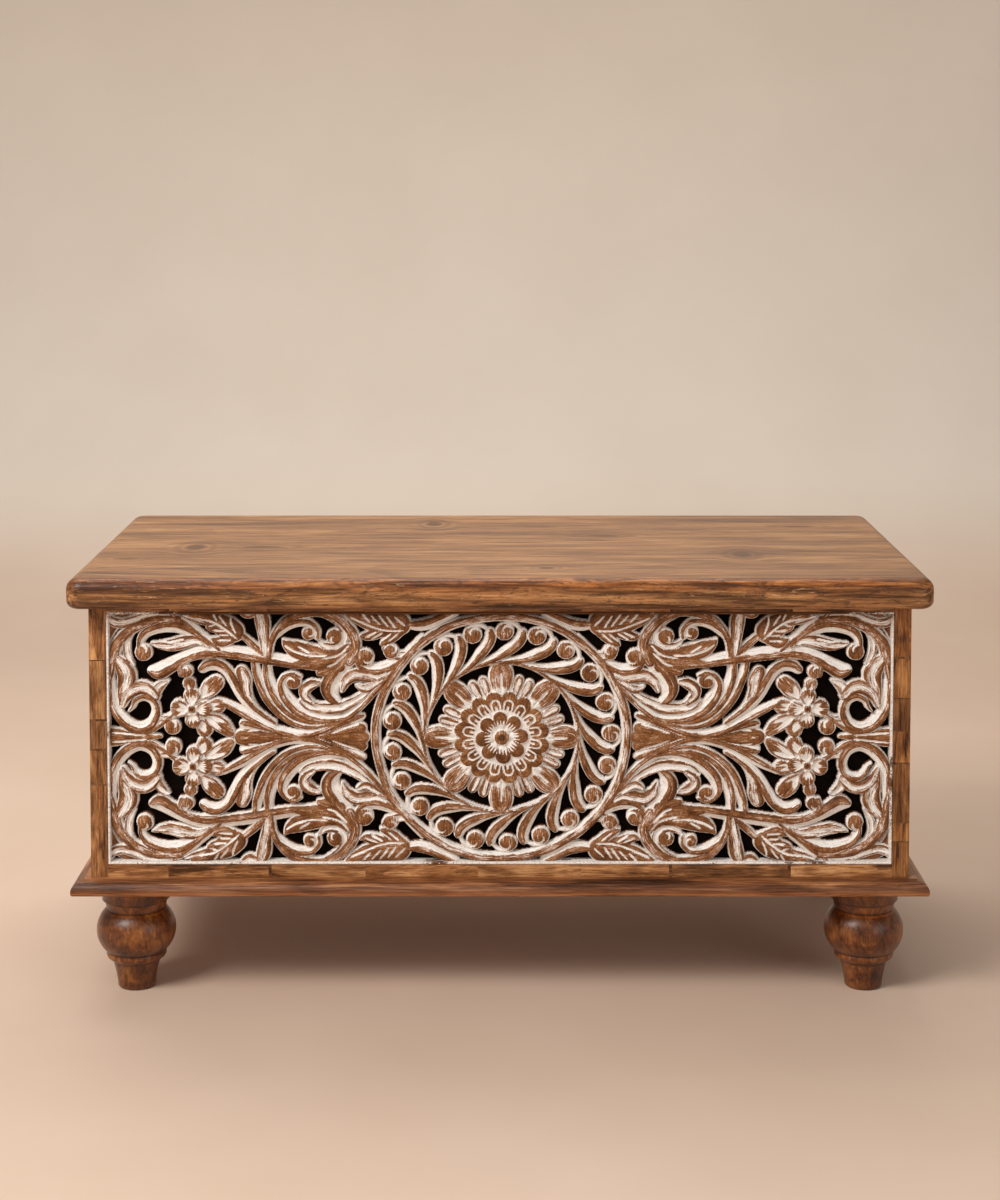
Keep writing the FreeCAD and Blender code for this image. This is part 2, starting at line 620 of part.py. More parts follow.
def knob(place_px, flip):
    x, y, radius = place_px
    return disc(on_carving(x, y, flip), radius * carving_scale()[0])


def merge(faces):
    """All faces as one flat shape: the edges that only one of the overlapping pieces has are its rim."""
    uses = {}
    pieces = faces[0].fuse(faces[1:]) if len(faces) > 1 else faces[0]
    for piece in pieces.Faces:
        for edge in piece.Edges:
            uses.setdefault(edge.hashCode(), []).append(edge)
    rim = []
    for alike in uses.values():
        rim += [edge for edge in alike if sum(edge.isSame(other) for other in alike) == 1]
    wires = [Part.Wire(edges) for edges in Part.sortEdges(rim)]
    return Part.makeFace(wires, "Part::FaceMakerBullseye")


def band(outer_radius, width):
    return disc(vector(0, 0), outer_radius).cut(disc(vector(0, 0), outer_radius - width)).Faces


def around(turn, radius):
    """A point at a radius, turned clockwise in degrees from straight up."""
    angle = math.radians(turn)
    return vector(radius * math.sin(angle), radius * math.cos(angle))


def swirl():
    """Blades that leave the eye's rim and curl over a knob inside the ring."""
    ring_inner = RING_OUTER_RADIUS - RING_BAND
    span = ring_inner - EYE_RADIUS
    knob_place = ring_inner - SWIRL_KNOB_RADIUS + SWIRL_KNOB_BITE
    faces = []
    for index in range(SWIRL_COUNT):
        root = SWIRL_START + 360.0 * index / SWIRL_COUNT
        route = []
        for turn, share, width in SWIRL_BLADE_SHARES:
            route.append((around(root + turn, EYE_RADIUS + share * span), width * SWIRL_BLADE_WIDTH))
        faces.append(ribbon(route))
        faces.append(disc(around(root + SWIRL_KNOB_TURN, knob_place), SWIRL_KNOB_RADIUS))
    return faces


def petals(row, first_step=0.0):
    """A row of round-ended petals, evenly spaced from a first step."""
    root, tip, radius, count = row
    faces = []
    for index in range(count):
        turn = 360.0 * (index + first_step) / count
        neck = around(turn, root)
        faces.append(ribbon([(neck, radius), (around(turn, tip - radius), 2 * radius)]))
    return faces


def scallops():
    """A disc with a round-lobed edge."""
    lobe = SCALLOP_RADIUS * math.sin(math.pi / SCALLOP_COUNT)
    faces = [disc(vector(0, 0), SCALLOP_RADIUS - lobe / 2)]
    for index in range(SCALLOP_COUNT):
        turn = 360.0 * (index + 0.5) / SCALLOP_COUNT
        faces.append(disc(around(turn, SCALLOP_RADIUS - lobe), lobe))
    return faces


def medallion_faces():
    """Everything inside the ring, and the ring, at the depth of the web."""
    faces = band(RING_OUTER_RADIUS, RING_BAND) + band(EYE_RADIUS + EYE_BAND, EYE_BAND)
    faces += swirl()
    faces += [disc(vector(0, 0), ROSETTE_DISC_RADIUS)]
    faces += petals(ROSETTE_LARGE_PETALS) + petals(ROSETTE_SMALL_PETALS, 0.5)
    return faces


def raise_above(faces, low, high, field):
    """Merged faces, trimmed to the field and extruded between two depths."""
    flat = merge(faces).common(field)
    flat.translate(vector(0, 0, low))
    return flat.extrude(vector(0, 0, high - low))


def carved_panel():
    """Pierced web, raised stems, leaves and flowers, and a border flush with the frame."""
    half_x = PANEL_X - PANEL_FIT
    half_z = (PANEL_HIGH_Z - PANEL_LOW_Z) / 2 - PANEL_FIT
    field = Part.makePlane(2 * half_x, 2 * half_z, vector(-half_x, -half_z))
    opening_x, opening_z = half_x - BORDER_WIDTH, half_z - BORDER_WIDTH
    opening = Part.makePlane(2 * opening_x, 2 * opening_z, vector(-opening_x, -opening_z))
    border = field.cut(opening).Faces
    web = border + medallion_faces()
    raised = band(RING_OUTER_RADIUS, RING_BAND)
    for table, flips, draw in (
        (QUARTER_STROKES_PX, QUARTER_FLIPS, stroke), (AXIS_STROKES_PX, AXIS_FLIPS, stroke),
        (QUARTER_KNOBS_PX, QUARTER_FLIPS, knob),
    ):
        for name, places in table.items():
            faces = [draw(places, flip) for flip in flips]
            web += faces
            if name in RAISED_NAMES:
                raised += faces
    hearts = [knob(FLOWER_HEART_PX, flip) for flip in QUARTER_FLIPS]
    button = [disc(vector(0, 0), BUTTON_RADIUS)]
    panel = raise_above(web, 0, WEB_DEPTH, field)
    panel = panel.fuse([
        raise_above(raised, WEB_DEPTH, RAISED_DEPTH, opening),
        raise_above(border, WEB_DEPTH, PANEL_THICKNESS, field),
        raise_above(hearts, WEB_DEPTH, HEART_DEPTH, field),
        raise_above(scallops(), WEB_DEPTH, RAISED_DEPTH, field),
        raise_above(petals(HEART_PETALS), RAISED_DEPTH, HEART_DEPTH, field),
        raise_above(button, HEART_DEPTH, PANEL_THICKNESS, field),
    ])
    cuts = [cut for flip in QUARTER_FLIPS for cut in veins(flip)]
    panel = panel.cut(raise_above(cuts, RAISED_DEPTH - VEIN_DEPTH, RAISED_DEPTH, opening))
    panel = panel.removeSplitter()
    panel.rotate(vector(0, 0), vector(1, 0), 90)
    panel.translate(vector(0, -BODY_Y + PANEL_THICKNESS, (PANEL_LOW_Z + PANEL_HIGH_Z) / 2))
    return panel


# Floor, plinth and feet


def floor_board():
    """The bottom of the inside, loose on its cleats and corner blocks."""
    half = INNER_X - FLOOR_FIT
    front, back = FRAME_BACK_Y + FLOOR_FIT, BACK_Y - FLOOR_FIT
    return block(-half, half, front, back, Z_FLOOR, Z_FLOOR + FLOOR_THICKNESS)


def corner_block(side, end):
    """A triangular block in a corner of the carcass, bored for the foot's bolt."""
    x = side * INNER_X
    y = FRAME_BACK_Y if end < 0 else BACK_Y
    outline = [
        vector(x, y, Z_CARCASS), vector(x - side * CORNER_BLOCK_LEG, y, Z_CARCASS),
        vector(x, y - end * CORNER_BLOCK_LEG, Z_CARCASS),
    ]
    return prism(outline, vector(0, 0, FLOOR_RAISE)).cut(foot_bolt(side, end, FOOT_BOLT_FIT))


def floor_cleat(end):
    """A strip under the floor's long edge, between two corner blocks."""
    half = INNER_X - CORNER_BLOCK_LEG - FLOOR_FIT
    y = FRAME_BACK_Y if end < 0 else BACK_Y
    return block(-half, half, y, y - end * CLEAT_WIDTH, Z_CARCASS, Z_FLOOR)


def plinth_section():
    """Moulded edge of a plinth board: distance out from the board's inner edge, and height."""
    low, high = Z_PLINTH, Z_CARCASS
    out = PLINTH_BOARD_WIDTH
    flat = out - PLINTH_PROJECTION + PLINTH_FLAT
    nose = low + PLINTH_NOSE_HEIGHT
    quirk = high - PLINTH_QUIRK
    bend = 1 - math.sqrt(0.5)
    swell = vector(out - bend * (out - flat), 0, quirk - bend * (quirk - nose))
    corner = PLINTH_NOSE_ROUND * bend
    edges = [
        Part.LineSegment(vector(0, 0, low), vector(0, 0, high)),
        Part.LineSegment(vector(0, 0, high), vector(flat, 0, high)),
        Part.LineSegment(vector(flat, 0, high), vector(flat, 0, quirk)),
        Part.Arc(vector(flat, 0, quirk), swell, vector(out, 0, nose)),
        Part.LineSegment(vector(out, 0, nose), vector(out, 0, low + PLINTH_NOSE_ROUND)),
        Part.Arc(
            vector(out, 0, low + PLINTH_NOSE_ROUND), vector(out - corner, 0, low + corner),
            vector(out - PLINTH_NOSE_ROUND, 0, low),
        ),
        Part.LineSegment(vector(out - PLINTH_NOSE_ROUND, 0, low), vector(0, 0, low)),
    ]
    return Part.Face(Part.Wire([edge.toShape() for edge in edges]))


def plinth_board(half_length, half_depth, turn):
    """One mitred board, made with its moulded edge to the front and turned into place."""
    board = plinth_section().extrude(vector(0, 2 * half_length))
    board.rotate(vector(0, 0), vector(0, 0, 1), -90)
    board.translate(vector(-half_length, -half_depth + PLINTH_BOARD_WIDTH))
    inner = half_length - PLINTH_BOARD_WIDTH
    plan = [
        vector(-half_length, -half_depth, Z_PLINTH), vector(half_length, -half_depth, Z_PLINTH),
        vector(inner, -half_depth + PLINTH_BOARD_WIDTH, Z_PLINTH),
        vector(-inner, -half_depth + PLINTH_BOARD_WIDTH, Z_PLINTH),
    ]
    board = board.common(prism(plan, vector(0, 0, PLINTH_THICKNESS)))
    board.rotate(vector(0, 0), vector(0, 0, 1), turn)
    for side in SIDES.values():
        for end in (-1, 1):
            board = board.cut(foot_bolt(side, end, FOOT_BOLT_FIT))
    return board


def foot_points(shares):
    return [vector(radius * FOOT_BALL_RADIUS, 0, height * FOOT_HEIGHT) for radius, height in shares]


def foot(side, end):
    """A turned foot: plate, cove, neck, ball, ring and tapered toe, bored for its bolt."""
    edges = []
    last = vector(0, 0, FOOT_HEIGHT)
    for shares in (
        FOOT_PLATE_SHARES, FOOT_COVE_SHARES, FOOT_NECK_SHARES, FOOT_BALL_SHARES, FOOT_RING_SHARES,
        FOOT_TAPER_SHARES, FOOT_TOE_SHARES,
    ):
        points = foot_points(shares)
        if last.distanceToPoint(points[0]) > 0:
            edges.append(Part.makeLine(last, points[0]))
        curve = Part.Arc(*points) if len(points) == 3 else Part.LineSegment(*points)
        edges.append(curve.toShape())
        last = points[-1]
    edges.append(Part.makeLine(last, vector(0, 0)))
    edges.append(Part.makeLine(vector(0, 0), vector(0, 0, FOOT_HEIGHT)))
    turned = Part.Face(Part.Wire(edges)).revolve(vector(0, 0), vector(0, 0, 1), 360)
    turned.translate(vector(side * FOOT_X, end * FOOT_Y))
    return turned.cut(foot_bolt(side, end, FOOT_BOLT_FIT))


def foot_bolt(side, end, fit=0.0):
    """A headless bolt from inside the foot to the top of the corner block."""
    low = Z_PLINTH - FOOT_BOLT_DEPTH
    place = vector(side * FOOT_X, end * FOOT_Y, low - fit)
    return Part.makeCylinder(FOOT_BOLT_RADIUS + fit, Z_FLOOR - low + fit, place)


def build():
    """Every piece by its node's name."""
    parts = lid_planks()
    ends = {"front": -1, "back": 1}
    for word, side in SIDES.items():
        parts["lid_batten_" + word] = lid_batten(side)
        parts["hinge_lid_leaf_" + word] = hinge_leaf(side, True)
        parts["hinge_back_leaf_" + word] = hinge_leaf(side, False)
        parts["hinge_pin_" + word] = hinge_pin(side)
        parts["front_stile_" + word] = front_stile(side)
        for row, plank in zip(PLANK_ROWS, side_planks(side)):
            parts["side_plank_" + word + "_" + row] = plank
        parts["plinth_" + word] = plinth_board(PLINTH_Y, PLINTH_X, side * 90)
        for place, end in ends.items():
            parts["corner_block_" + place + "_" + word] = corner_block(side, end)
            parts["foot_" + place + "_" + word] = foot(side, end)
    for row, plank in zip(PLANK_ROWS, back_planks()):
        parts["back_plank_" + row] = plank
    for place, end in ends.items():
        parts["floor_cleat_" + place] = floor_cleat(end)
    parts["plinth_front"] = plinth_board(PLINTH_X, PLINTH_Y, 0)
    parts["plinth_back"] = plinth_board(PLINTH_X, PLINTH_Y, 180)
    shoulder = BOTTOM_RAIL_HEIGHT + SHOULDER_WIDTH
    parts["front_bottom_rail"] = front_rail(Z_CARCASS, PANEL_LOW_Z, Z_CARCASS + shoulder, bottom_tenon)
    shoulder = TOP_RAIL_LIP + SHOULDER_WIDTH
    parts["front_top_rail"] = front_rail(Z_TOP, PANEL_HIGH_Z, Z_TOP - shoulder, top_tenon)
    parts["carved_front_panel"] = carved_panel()
    parts["front_backing_board"] = backing_board()
    parts["floor_board"] = floor_board()
    up, down = vector(0, 0, 1), vector(0, 0, -1)
    groups = {
        "lid_batten_screws": [screw(head, up, BATTEN_SCREW_LENGTH) for head in batten_screw_heads()],
        "hinge_lid_screws": [screw(head, up, HINGE_SCREW_LENGTH) for head in hinge_screw_heads(Z_LID)],
        "hinge_back_screws": [screw(head, down, HINGE_SCREW_LENGTH) for head in hinge_screw_heads(Z_TOP)],
        "foot_bolts": [foot_bolt(side, end) for side in SIDES.values() for end in ends.values()],
    }
    for name, solids in groups.items():
        parts[name] = Part.makeCompound(solids)
    return parts


def main():
    os.makedirs("parts", exist_ok=True)
    for name, shape in build().items():
        solids = shape.Solids
        state = "valid" if shape.isValid() else "INVALID"
        print(name, len(solids), "solid(s)", round(shape.Volume), "mm3", state)
        shape.exportStep(os.path.join("parts", name + ".step"))


main()
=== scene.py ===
import copy
import math

import bpy
import numpy as np
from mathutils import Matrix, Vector
from mathutils.geometry import delaunay_2d_cdt


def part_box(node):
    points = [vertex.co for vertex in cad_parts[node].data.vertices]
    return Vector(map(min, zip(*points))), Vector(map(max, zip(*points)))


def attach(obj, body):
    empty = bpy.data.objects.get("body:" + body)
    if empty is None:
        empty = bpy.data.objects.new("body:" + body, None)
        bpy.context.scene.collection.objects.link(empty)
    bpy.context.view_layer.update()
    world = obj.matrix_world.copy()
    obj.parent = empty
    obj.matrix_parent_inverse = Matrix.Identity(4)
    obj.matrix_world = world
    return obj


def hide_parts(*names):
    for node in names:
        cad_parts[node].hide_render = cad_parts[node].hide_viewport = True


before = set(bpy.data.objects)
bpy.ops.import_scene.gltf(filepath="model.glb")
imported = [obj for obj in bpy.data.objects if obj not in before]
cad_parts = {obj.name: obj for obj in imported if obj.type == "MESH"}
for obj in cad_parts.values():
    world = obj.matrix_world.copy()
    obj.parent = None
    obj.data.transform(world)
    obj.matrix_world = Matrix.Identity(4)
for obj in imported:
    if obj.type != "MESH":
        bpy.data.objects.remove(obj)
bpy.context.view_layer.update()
MM = 0.001

# A camera fitted to the photograph
CAMERA_PLACE = (0.0, -2.5497, 0.8782)
CAMERA_DIP = 0.0603
CAMERA_LENS = 67.2
CAMERA_SHIFT_Y = -0.242

# Area lights: name, place, target, size, energy and colour; then the light from all round
LIGHTS = (
    ("window", (-1.9, -2.0, 2.5), (0, -0.1, 0.3), (1.5, 1.2), 92, (1.0, 0.97, 0.94)),
    ("fill", (2.2, -2.6, 1.2), (0, -0.1, 0.25), (1.8, 1.6), 14, (1.0, 0.98, 0.96)),
    ("sky", (-0.3, 1.0, 2.3), (0, 0, 0.45), (2.2, 1.2), 30, (1.0, 0.985, 0.96)),
)
WORLD_COLOUR = (1.0, 0.97, 0.93, 1.0)
WORLD_STRENGTH = 0.3

# The carving's plan follows pixels of the photograph
PLAN_CENTRE_PX = (500.0, 738.0)
PLAN_HALF_PX = (394.3, 126.6)

# Grid and edges of the carving in mm: grid step, working reach round an element, pale outline inside
# its edge, skirt outside it, least half width of a stroke, border strip, inset of the carved field
STEP = 0.93
REACH = 6.5
OUTLINE = (0.7, 1.7)
SKIRT = 0.6
LEAST_HALF = 0.4
BORDER, BORDER_EASE = 2.6, 0.7
FIELD_INSET = 1.6
# Where no element is near, the rim's share of an edge's height, and the angle that counts as a sharp edge
FAR = 1000.0
RIM_SHARE = 0.34
SHARP_DEGREES = 55
# The grain's shift from one element to the next, the wash value that paints the walls and back in shade, and
# all that the grid holds
GRAIN_SHIFT = 7.31
WALL_SHADE_WASH = -0.5
GRID_VALUES = ("field", "height", "wash_and_shade", "rim", "grain")
# Sides of a grid cell: the way to the cell beside, and the corners where the side starts and ends
CELL_SIDES = (
    ((0, -1), (0, 0), (1, 0)), ((1, 0), (1, 0), (1, 1)), ((0, 1), (1, 1), (0, 1)), ((-1, 0), (0, 1), (0, 0)),
)
# Depths of the gouge's cuts in mm
VEIN_CUT, PETAL_VEIN_CUT, LOOP_CUT = 1.3, 1.6, 1.5
BEAD_CUT, DOT_CUT = 1.4, 0.9
CUP_CUT, HEART_CUT = 1.8, 2.0
# Hollows that hold paint, in mm: reach of the blur that finds them, least depth, and depth more until full
HOLLOW_REACH, HOLLOW_FROM, HOLLOW_SPAN = 1.7, 0.35, 1.1
# Waves of the drift across and up: size in mm, radians for each mm of x and z, and start
HAND_WAVES = (
    ((0.5, 0.031, 0.047, 1.3), (0.3, 0.083, -0.061, 4.0)),
    ((0.5, 0.037, -0.029, 2.1), (0.3, 0.071, 0.093, 0.4)),
)

# Cross-sections of the carved stems, from the right edge to the left: place, height share, whitewash or,
# below zero, painted shade
SECTIONS = {
    "round": ((-1, 0.5, 0.6), (-0.72, 0.82, -0.3), (-0.35, 0.97, 0), (0, 1, 0.1), (0.4, 0.96, 0.2),
        (0.72, 0.82, 0.1), (1, 0.5, 0.8)),
    "white_left": ((-1, 0.5, 0.8), (-0.8, 0.84, -0.45), (-0.45, 0.98, 0), (-0.15, 1, 0.1),
        (0.08, 0.94, -0.1), (0.22, 0.8, 0.75), (0.5, 0.72, 0.95), (0.85, 0.66, 0.8), (1, 0.5, 0.9)),
    "blade": ((-1, 0.5, 0.8), (-0.84, 0.82, -0.4), (-0.4, 0.98, 0), (0, 1, 0.1), (0.24, 0.92, -0.1),
        (0.38, 0.78, 0.7), (0.7, 0.7, 0.9), (1, 0.5, 0.9)),
    "paint": ((-1, 0.6, 0.9), (-0.5, 0.95, 0.8), (0, 1, 0.7), (0.5, 0.95, 0.8), (1, 0.6, 0.9)),
    "scoop": ((-1, 0.52, 0.7), (-0.78, 0.94, -0.2), (-0.5, 0.88, 0.1), (-0.2, 0.76, 0.65),
        (0.2, 0.7, 0.85), (0.52, 0.82, 0.5), (0.78, 0.94, -0.1), (1, 0.52, 0.8)),
    "soft": ((-1, 0.52, 0.8), (-0.76, 0.88, -0.35), (-0.45, 1, 0.05), (-0.1, 0.9, 0.5),
        (0.25, 0.92, 0.55), (0.5, 1, 0.3), (0.78, 0.88, -0.1), (1, 0.52, 0.9)),
    "leaf": ((-1, 0.55, 0.8), (-0.8, 0.84, -0.3), (-0.2, 1, 0), (0, 0.96, 0), (0.2, 1, 0),
        (0.8, 0.84, -0.2), (1, 0.55, 0.8)),
    "rim": ((-1, 0.5, 0.8), (-0.78, 0.86, -0.3), (-0.3, 1, 0.1), (0.2, 0.98, 0.25), (0.5, 0.92, 0.1),
        (0.7, 0.8, 0.75), (1, 0.5, 0.9)),
    "plain": ((-1, 0.55, 0.8), (-0.75, 0.88, -0.25), (0, 1, 0.05), (0.75, 0.88, -0.15), (1, 0.55, 0.8)),
}

# Stems and leaves of the upper left quarter: section, crest in mm, then x, y and width in pixels
QUARTER_STROKES = {
    "corner_lobe": ("soft", 10.5, ((105, 617, 8), (109, 622, 11), (118, 625, 11), (131, 622, 11),
        (143, 617, 10), (158, 614.5, 9), (172, 615, 8))),
    "corner_ground": ("plain", 6.5, ((102, 654, 7), (105, 638, 11), (110, 627, 14), (121, 619, 12),
        (136, 614, 9))),
    "left_stem": ("round", 13, ((178, 619, 8), (160, 619.5, 9), (147, 622.5, 10), (134.5, 627.5, 11),
        (124, 635, 12), (115.5, 645.5, 13), (112, 657, 13), (110, 669, 10), (108.5, 682, 6))),
    "left_volute": ("white_left", 13, ((109.5, 672, 6), (109.5, 690, 11), (113, 709, 12), (122, 722, 13),
        (136, 729.5, 13), (149, 725, 12), (154.5, 714, 11), (152, 703, 10), (143, 698, 9),
        (134, 701.5, 7), (130.5, 708, 5), (126.5, 712, 3))),
    "left_leaf": ("soft", 12.4, ((116, 659, 11), (122, 667, 18), (125.5, 675, 21), (124.5, 684, 18),
        (121.5, 694, 12), (119, 704, 5))),
    "left_crest": ("soft", 12.8, ((121, 706, 7), (124.5, 697, 12), (132, 690.5, 15), (140, 688, 16),
        (148, 690.5, 14), (154, 697, 11))),
    "left_tip": ("scoop", 12.2, ((152, 698, 11), (155.5, 690, 12), (160, 685, 10), (166.5, 681.5, 4))),
    "left_crescent": ("scoop", 11, ((131, 632, 5), (125.5, 641, 8), (125, 651, 9), (128, 659, 7),
        (132, 665, 4))),
    "arch_leaf": ("white_left", 12.5, ((207, 646, 6), (194, 635.5, 11), (181, 628.5, 13), (168, 626, 14),
        (155, 628.5, 12), (145, 633, 11), (139.5, 640, 9), (138, 648, 7))),
    "diagonal": ("white_left", 12, ((171, 613.5, 7), (184, 622, 8), (197, 632.5, 8), (209, 642, 8),
        (219, 650, 7))),
    "tongue_leaf": ("soft", 12, ((208, 646.5, 5), (195, 641, 11), (182, 642.5, 15), (169, 645.5, 14),
        (158, 645.5, 9), (150, 643.5, 3))),
    "branch": ("white_right", 13.5, ((310, 664.5, 10), (296, 663.5, 12), (280, 661, 13), (252, 657, 14.5),
        (226, 653.5, 14), (206, 652, 13), (192, 654.5, 13), (180, 660, 14), (168, 667, 16),
        (158, 672, 17), (150.5, 671, 10))),
    "branch_curl": ("round", 13.8, ((214, 656.5, 7), (198, 657, 7), (186, 660.5, 7), (178.5, 667, 7),
        (180, 675, 8))),
    "flower_hood": ("white_right", 12.5, ((201, 670, 10), (207, 666, 13), (216, 666, 13), (225, 672, 12),
        (232, 683, 12), (239, 695, 12), (248, 705.5, 11), (259, 715, 9), (272, 723.5, 7))),
    "fork_bud": ("soft", 12, ((240, 673, 14), (243, 681, 15), (244.5, 691, 12), (249, 702, 9),
        (257, 712, 6))),
    "cradle": ("white_left", 13.2, ((221, 703, 7), (238, 711.5, 10), (255, 721, 10), (272, 729.5, 10),
        (290, 734.5, 10), (306, 734.5, 10), (323, 730, 10), (341, 721, 10), (358, 709, 9),
        (373, 693.5, 9), (387, 676.5, 9), (401, 660.5, 9), (414, 646, 8), (422, 638, 7))),
    "cradle_outer": ("white_left", 12.6, ((253, 660, 8), (255, 672, 10), (260, 685, 12), (267, 699, 13),
        (278, 712.5, 12), (293, 723, 10), (312, 727.5, 8), (336, 723, 6))),
    "cradle_inner": ("white_left", 12.2, ((266, 660, 9), (267, 677, 11), (272, 692, 12),
        (280.5, 705.5, 12), (292.5, 716, 10), (308, 722, 8), (324, 724, 5))),
    "inner_scroll": ("white_right", 12.8, ((350, 717, 5), (328, 721, 10), (308, 717, 13),
        (294, 708.5, 14), (284, 697, 13), (280.5, 686, 10), (284, 678, 8), (292, 674.5, 7),
        (299, 677, 6))),
    "inner_leaf": ("scoop", 12.6, ((300, 702, 6), (308, 706.5, 11), (322, 709.5, 13), (337, 709, 13),
        (351, 703.5, 11), (366, 694, 8), (380, 682, 6))),
    "lobe_leaf": ("soft", 12.8, ((319, 683, 6), (311, 685, 12), (304, 690, 13), (304, 697, 11),
        (312, 704, 7))),
    "drop_leaf": ("white_left", 13.6, ((352, 652, 10), (345, 664, 16), (336, 675, 20), (329.5, 687, 20),
        (331, 697, 15), (338, 703, 7))),
    "flame_leaf": ("soft", 12.4, ((266, 657, 8), (264.5, 645, 12), (263, 633, 14), (261.5, 621, 16),
        (259.5, 613, 11))),
    "great_arch": ("round", 13.6, ((268, 658, 8), (271, 642, 8), (278, 629, 9), (290, 618.5, 10),
        (305, 613.5, 10), (320, 613, 10), (335, 617, 11), (346, 626, 12), (353.5, 638, 12),
        (355, 650, 12), (349, 662, 13))),
    "great_body": ("plain", 13.2, ((296, 664, 9), (310, 664, 14), (325, 663, 19), (338, 658, 20),
        (348, 650, 16))),
    "great_lobe": ("plain", 13.4, ((340, 668, 12), (328, 671, 13), (319, 673, 8))),
    "arch_curl": ("white_right", 12.6, ((268, 646, 5), (275, 636, 9), (286, 627.5, 10), (299, 623, 10),
        (310, 624.5, 9), (316, 631, 8), (316, 638, 7))),
    "great_spiral": ("scoop", 12.4, ((322, 616, 4), (334, 621, 8), (342, 630, 9), (342.5, 640, 10),
        (335, 647, 11), (324, 646, 9), (318, 641, 4))),
    "pointing_leaf": ("plain", 13, ((340, 654, 10), (326, 656.5, 17), (310, 654, 21), (297, 650.5, 19),
        (288, 646, 12), (283, 641, 4))),
    "ring_curl": ("white_left", 12.8, ((356, 650, 6), (356.5, 661, 8), (364, 669, 11), (377, 670.5, 13),
        (391, 666, 12), (404, 657, 9))),
    "ring_bud": ("scoop", 12.2, ((385, 650, 9), (394, 656, 11), (405, 657, 9))),
    "side_leaf": ("soft", 12.2, ((342, 692, 5), (346, 682, 12), (355, 676.5, 15), (366, 677.5, 14),
        (379, 678, 11), (392, 670, 8))),
    "side_lobe": ("soft", 12.6, ((357, 687, 6), (364, 690, 10), (373, 686, 9), (384, 678, 6))),
    "veined_leaf": ("leaf", 13.6, ((398.5, 624.5, 26), (390, 624.5, 28), (380, 623.5, 26),
        (370, 621.5, 22), (360, 618.5, 17), (351, 615.5, 11), (344, 612.5, 5))),
    "veined_finger_far": ("leaf", 13.2, ((384, 631, 13), (374, 635, 13), (366, 637, 10), (360, 636, 4))),
    "veined_finger_near": ("leaf", 13.0, ((398, 632, 14), (390.5, 638, 14), (384, 643, 9),
        (380.5, 645.5, 4))),
    "leaf_bridge": ("white_right", 12.5, ((409, 626, 9), (418, 626.5, 12), (430, 624.5, 13),
        (442, 619.5, 12), (455, 613.5, 10))),
    "corner_leaf": ("leaf", 13.4, ((232.5, 632.5, 24), (226, 628.5, 26), (219, 624.5, 22), (210, 620, 15),
        (200, 616.5, 9), (190, 615, 6))),
    "corner_finger_high": ("leaf", 13.0, ((224, 630.5, 11), (215, 629.5, 11), (208.5, 628, 8),
        (205.5, 627, 3))),
    "corner_finger_low": ("leaf", 12.8, ((231, 640, 11), (222, 643, 12), (215.5, 642, 9),
        (211.5, 639.5, 4))),
    "corner_tail": ("soft", 11.8, ((183, 616.5, 5), (194, 620, 8), (206, 622.5, 10), (216, 625, 10))),
    "prop": ("round", 11.6, ((262, 655, 8), (252, 646, 9), (243, 638, 8))),
    "top_lobe": ("soft", 11.2, ((241, 611, 9), (247, 614, 13), (255, 613, 9))),
    "fan_high": ("white_right", 11.8, ((314, 735.5, 4), (330, 731, 9), (345, 725, 12), (356, 720, 11),
        (362, 717.5, 7))),
    "fan_low": ("plain", 12.0, ((318, 737.5, 4), (336, 734.5, 11), (350, 731.5, 14), (361, 729, 12))),
    "left_fan": ("white_left", 11.6, ((288, 735.5, 4), (268, 731.5, 9), (253, 727.5, 13),
        (243, 725.5, 11))),
    "bud_stem": ("white_left", 12, ((140, 734, 8), (152, 729, 9), (163, 722, 8), (174, 713, 5))),
    "bud_leaf": ("soft", 11.6, ((157, 720, 6), (166, 719.5, 8), (174, 717, 5))),
}

# Pale veins cut into the leaves, as pixels
VEIN_PX = 1.9
QUARTER_VEINS = (
    ((349.5, 617.5), (361.5, 623), (378, 629.5), (390, 631.5), (402.5, 631)),
    ((361.5, 614), (369.5, 622.5)), ((371, 616), (380, 625)), ((378.5, 615), (388, 627)),
    ((387, 617), (395, 628)), ((395, 617.5), (405, 626.5)), ((375.5, 633), (365, 637.5)),
    ((382, 633.5), (371, 640)), ((390.5, 634.5), (380.5, 642)), ((397.5, 634.5), (388, 642)),
    ((195, 618.8), (212, 622.3), (224.5, 629.5), (236.5, 639.5)), ((212, 613), (216.5, 621)),
    ((218.5, 616), (226.5, 626)), ((230.5, 618), (231.5, 624.5), (235.5, 633.5)),
    ((208, 627), (215, 625)), ((212, 631), (224, 631.5)), ((218.5, 636), (229, 636)),
    ((217.5, 641.5), (230.5, 641)), ((284.5, 645.5), (295, 651.5), (309, 655.2), (326, 655.6)),
    ((298, 646.5), (309, 653)), ((150, 640), (166, 642), (182, 639)),
    ((124, 663), (128, 672), (124, 683)), ((330, 734.5), (345, 729), (358, 725)),
    ((322, 659), (338, 655), (348, 645)), ((327, 667), (336, 663), (346, 653)),
    ((258, 730.5), (247, 731.5)), ((110, 733), (126, 734.5), (144, 736)),
)

# Strokes along the middle line, of which the upper half is drawn
AXIS_STROKES = {
    "axis_left": ("plain", 11.8, ((298, 738, 4), (280, 738, 9), (262, 738, 15), (249, 738, 20),
        (241, 738, 17))),
    "axis_right": ("plain", 11.8, ((306, 738, 4), (324, 738, 8), (342, 738, 13), (356, 738, 17),
        (363, 738, 14))),
    "axis_bud": ("plain", 11.4, ((104, 738, 23), (114, 738, 20), (126, 738, 14), (140, 738, 9),
        (158, 738, 5))),
}

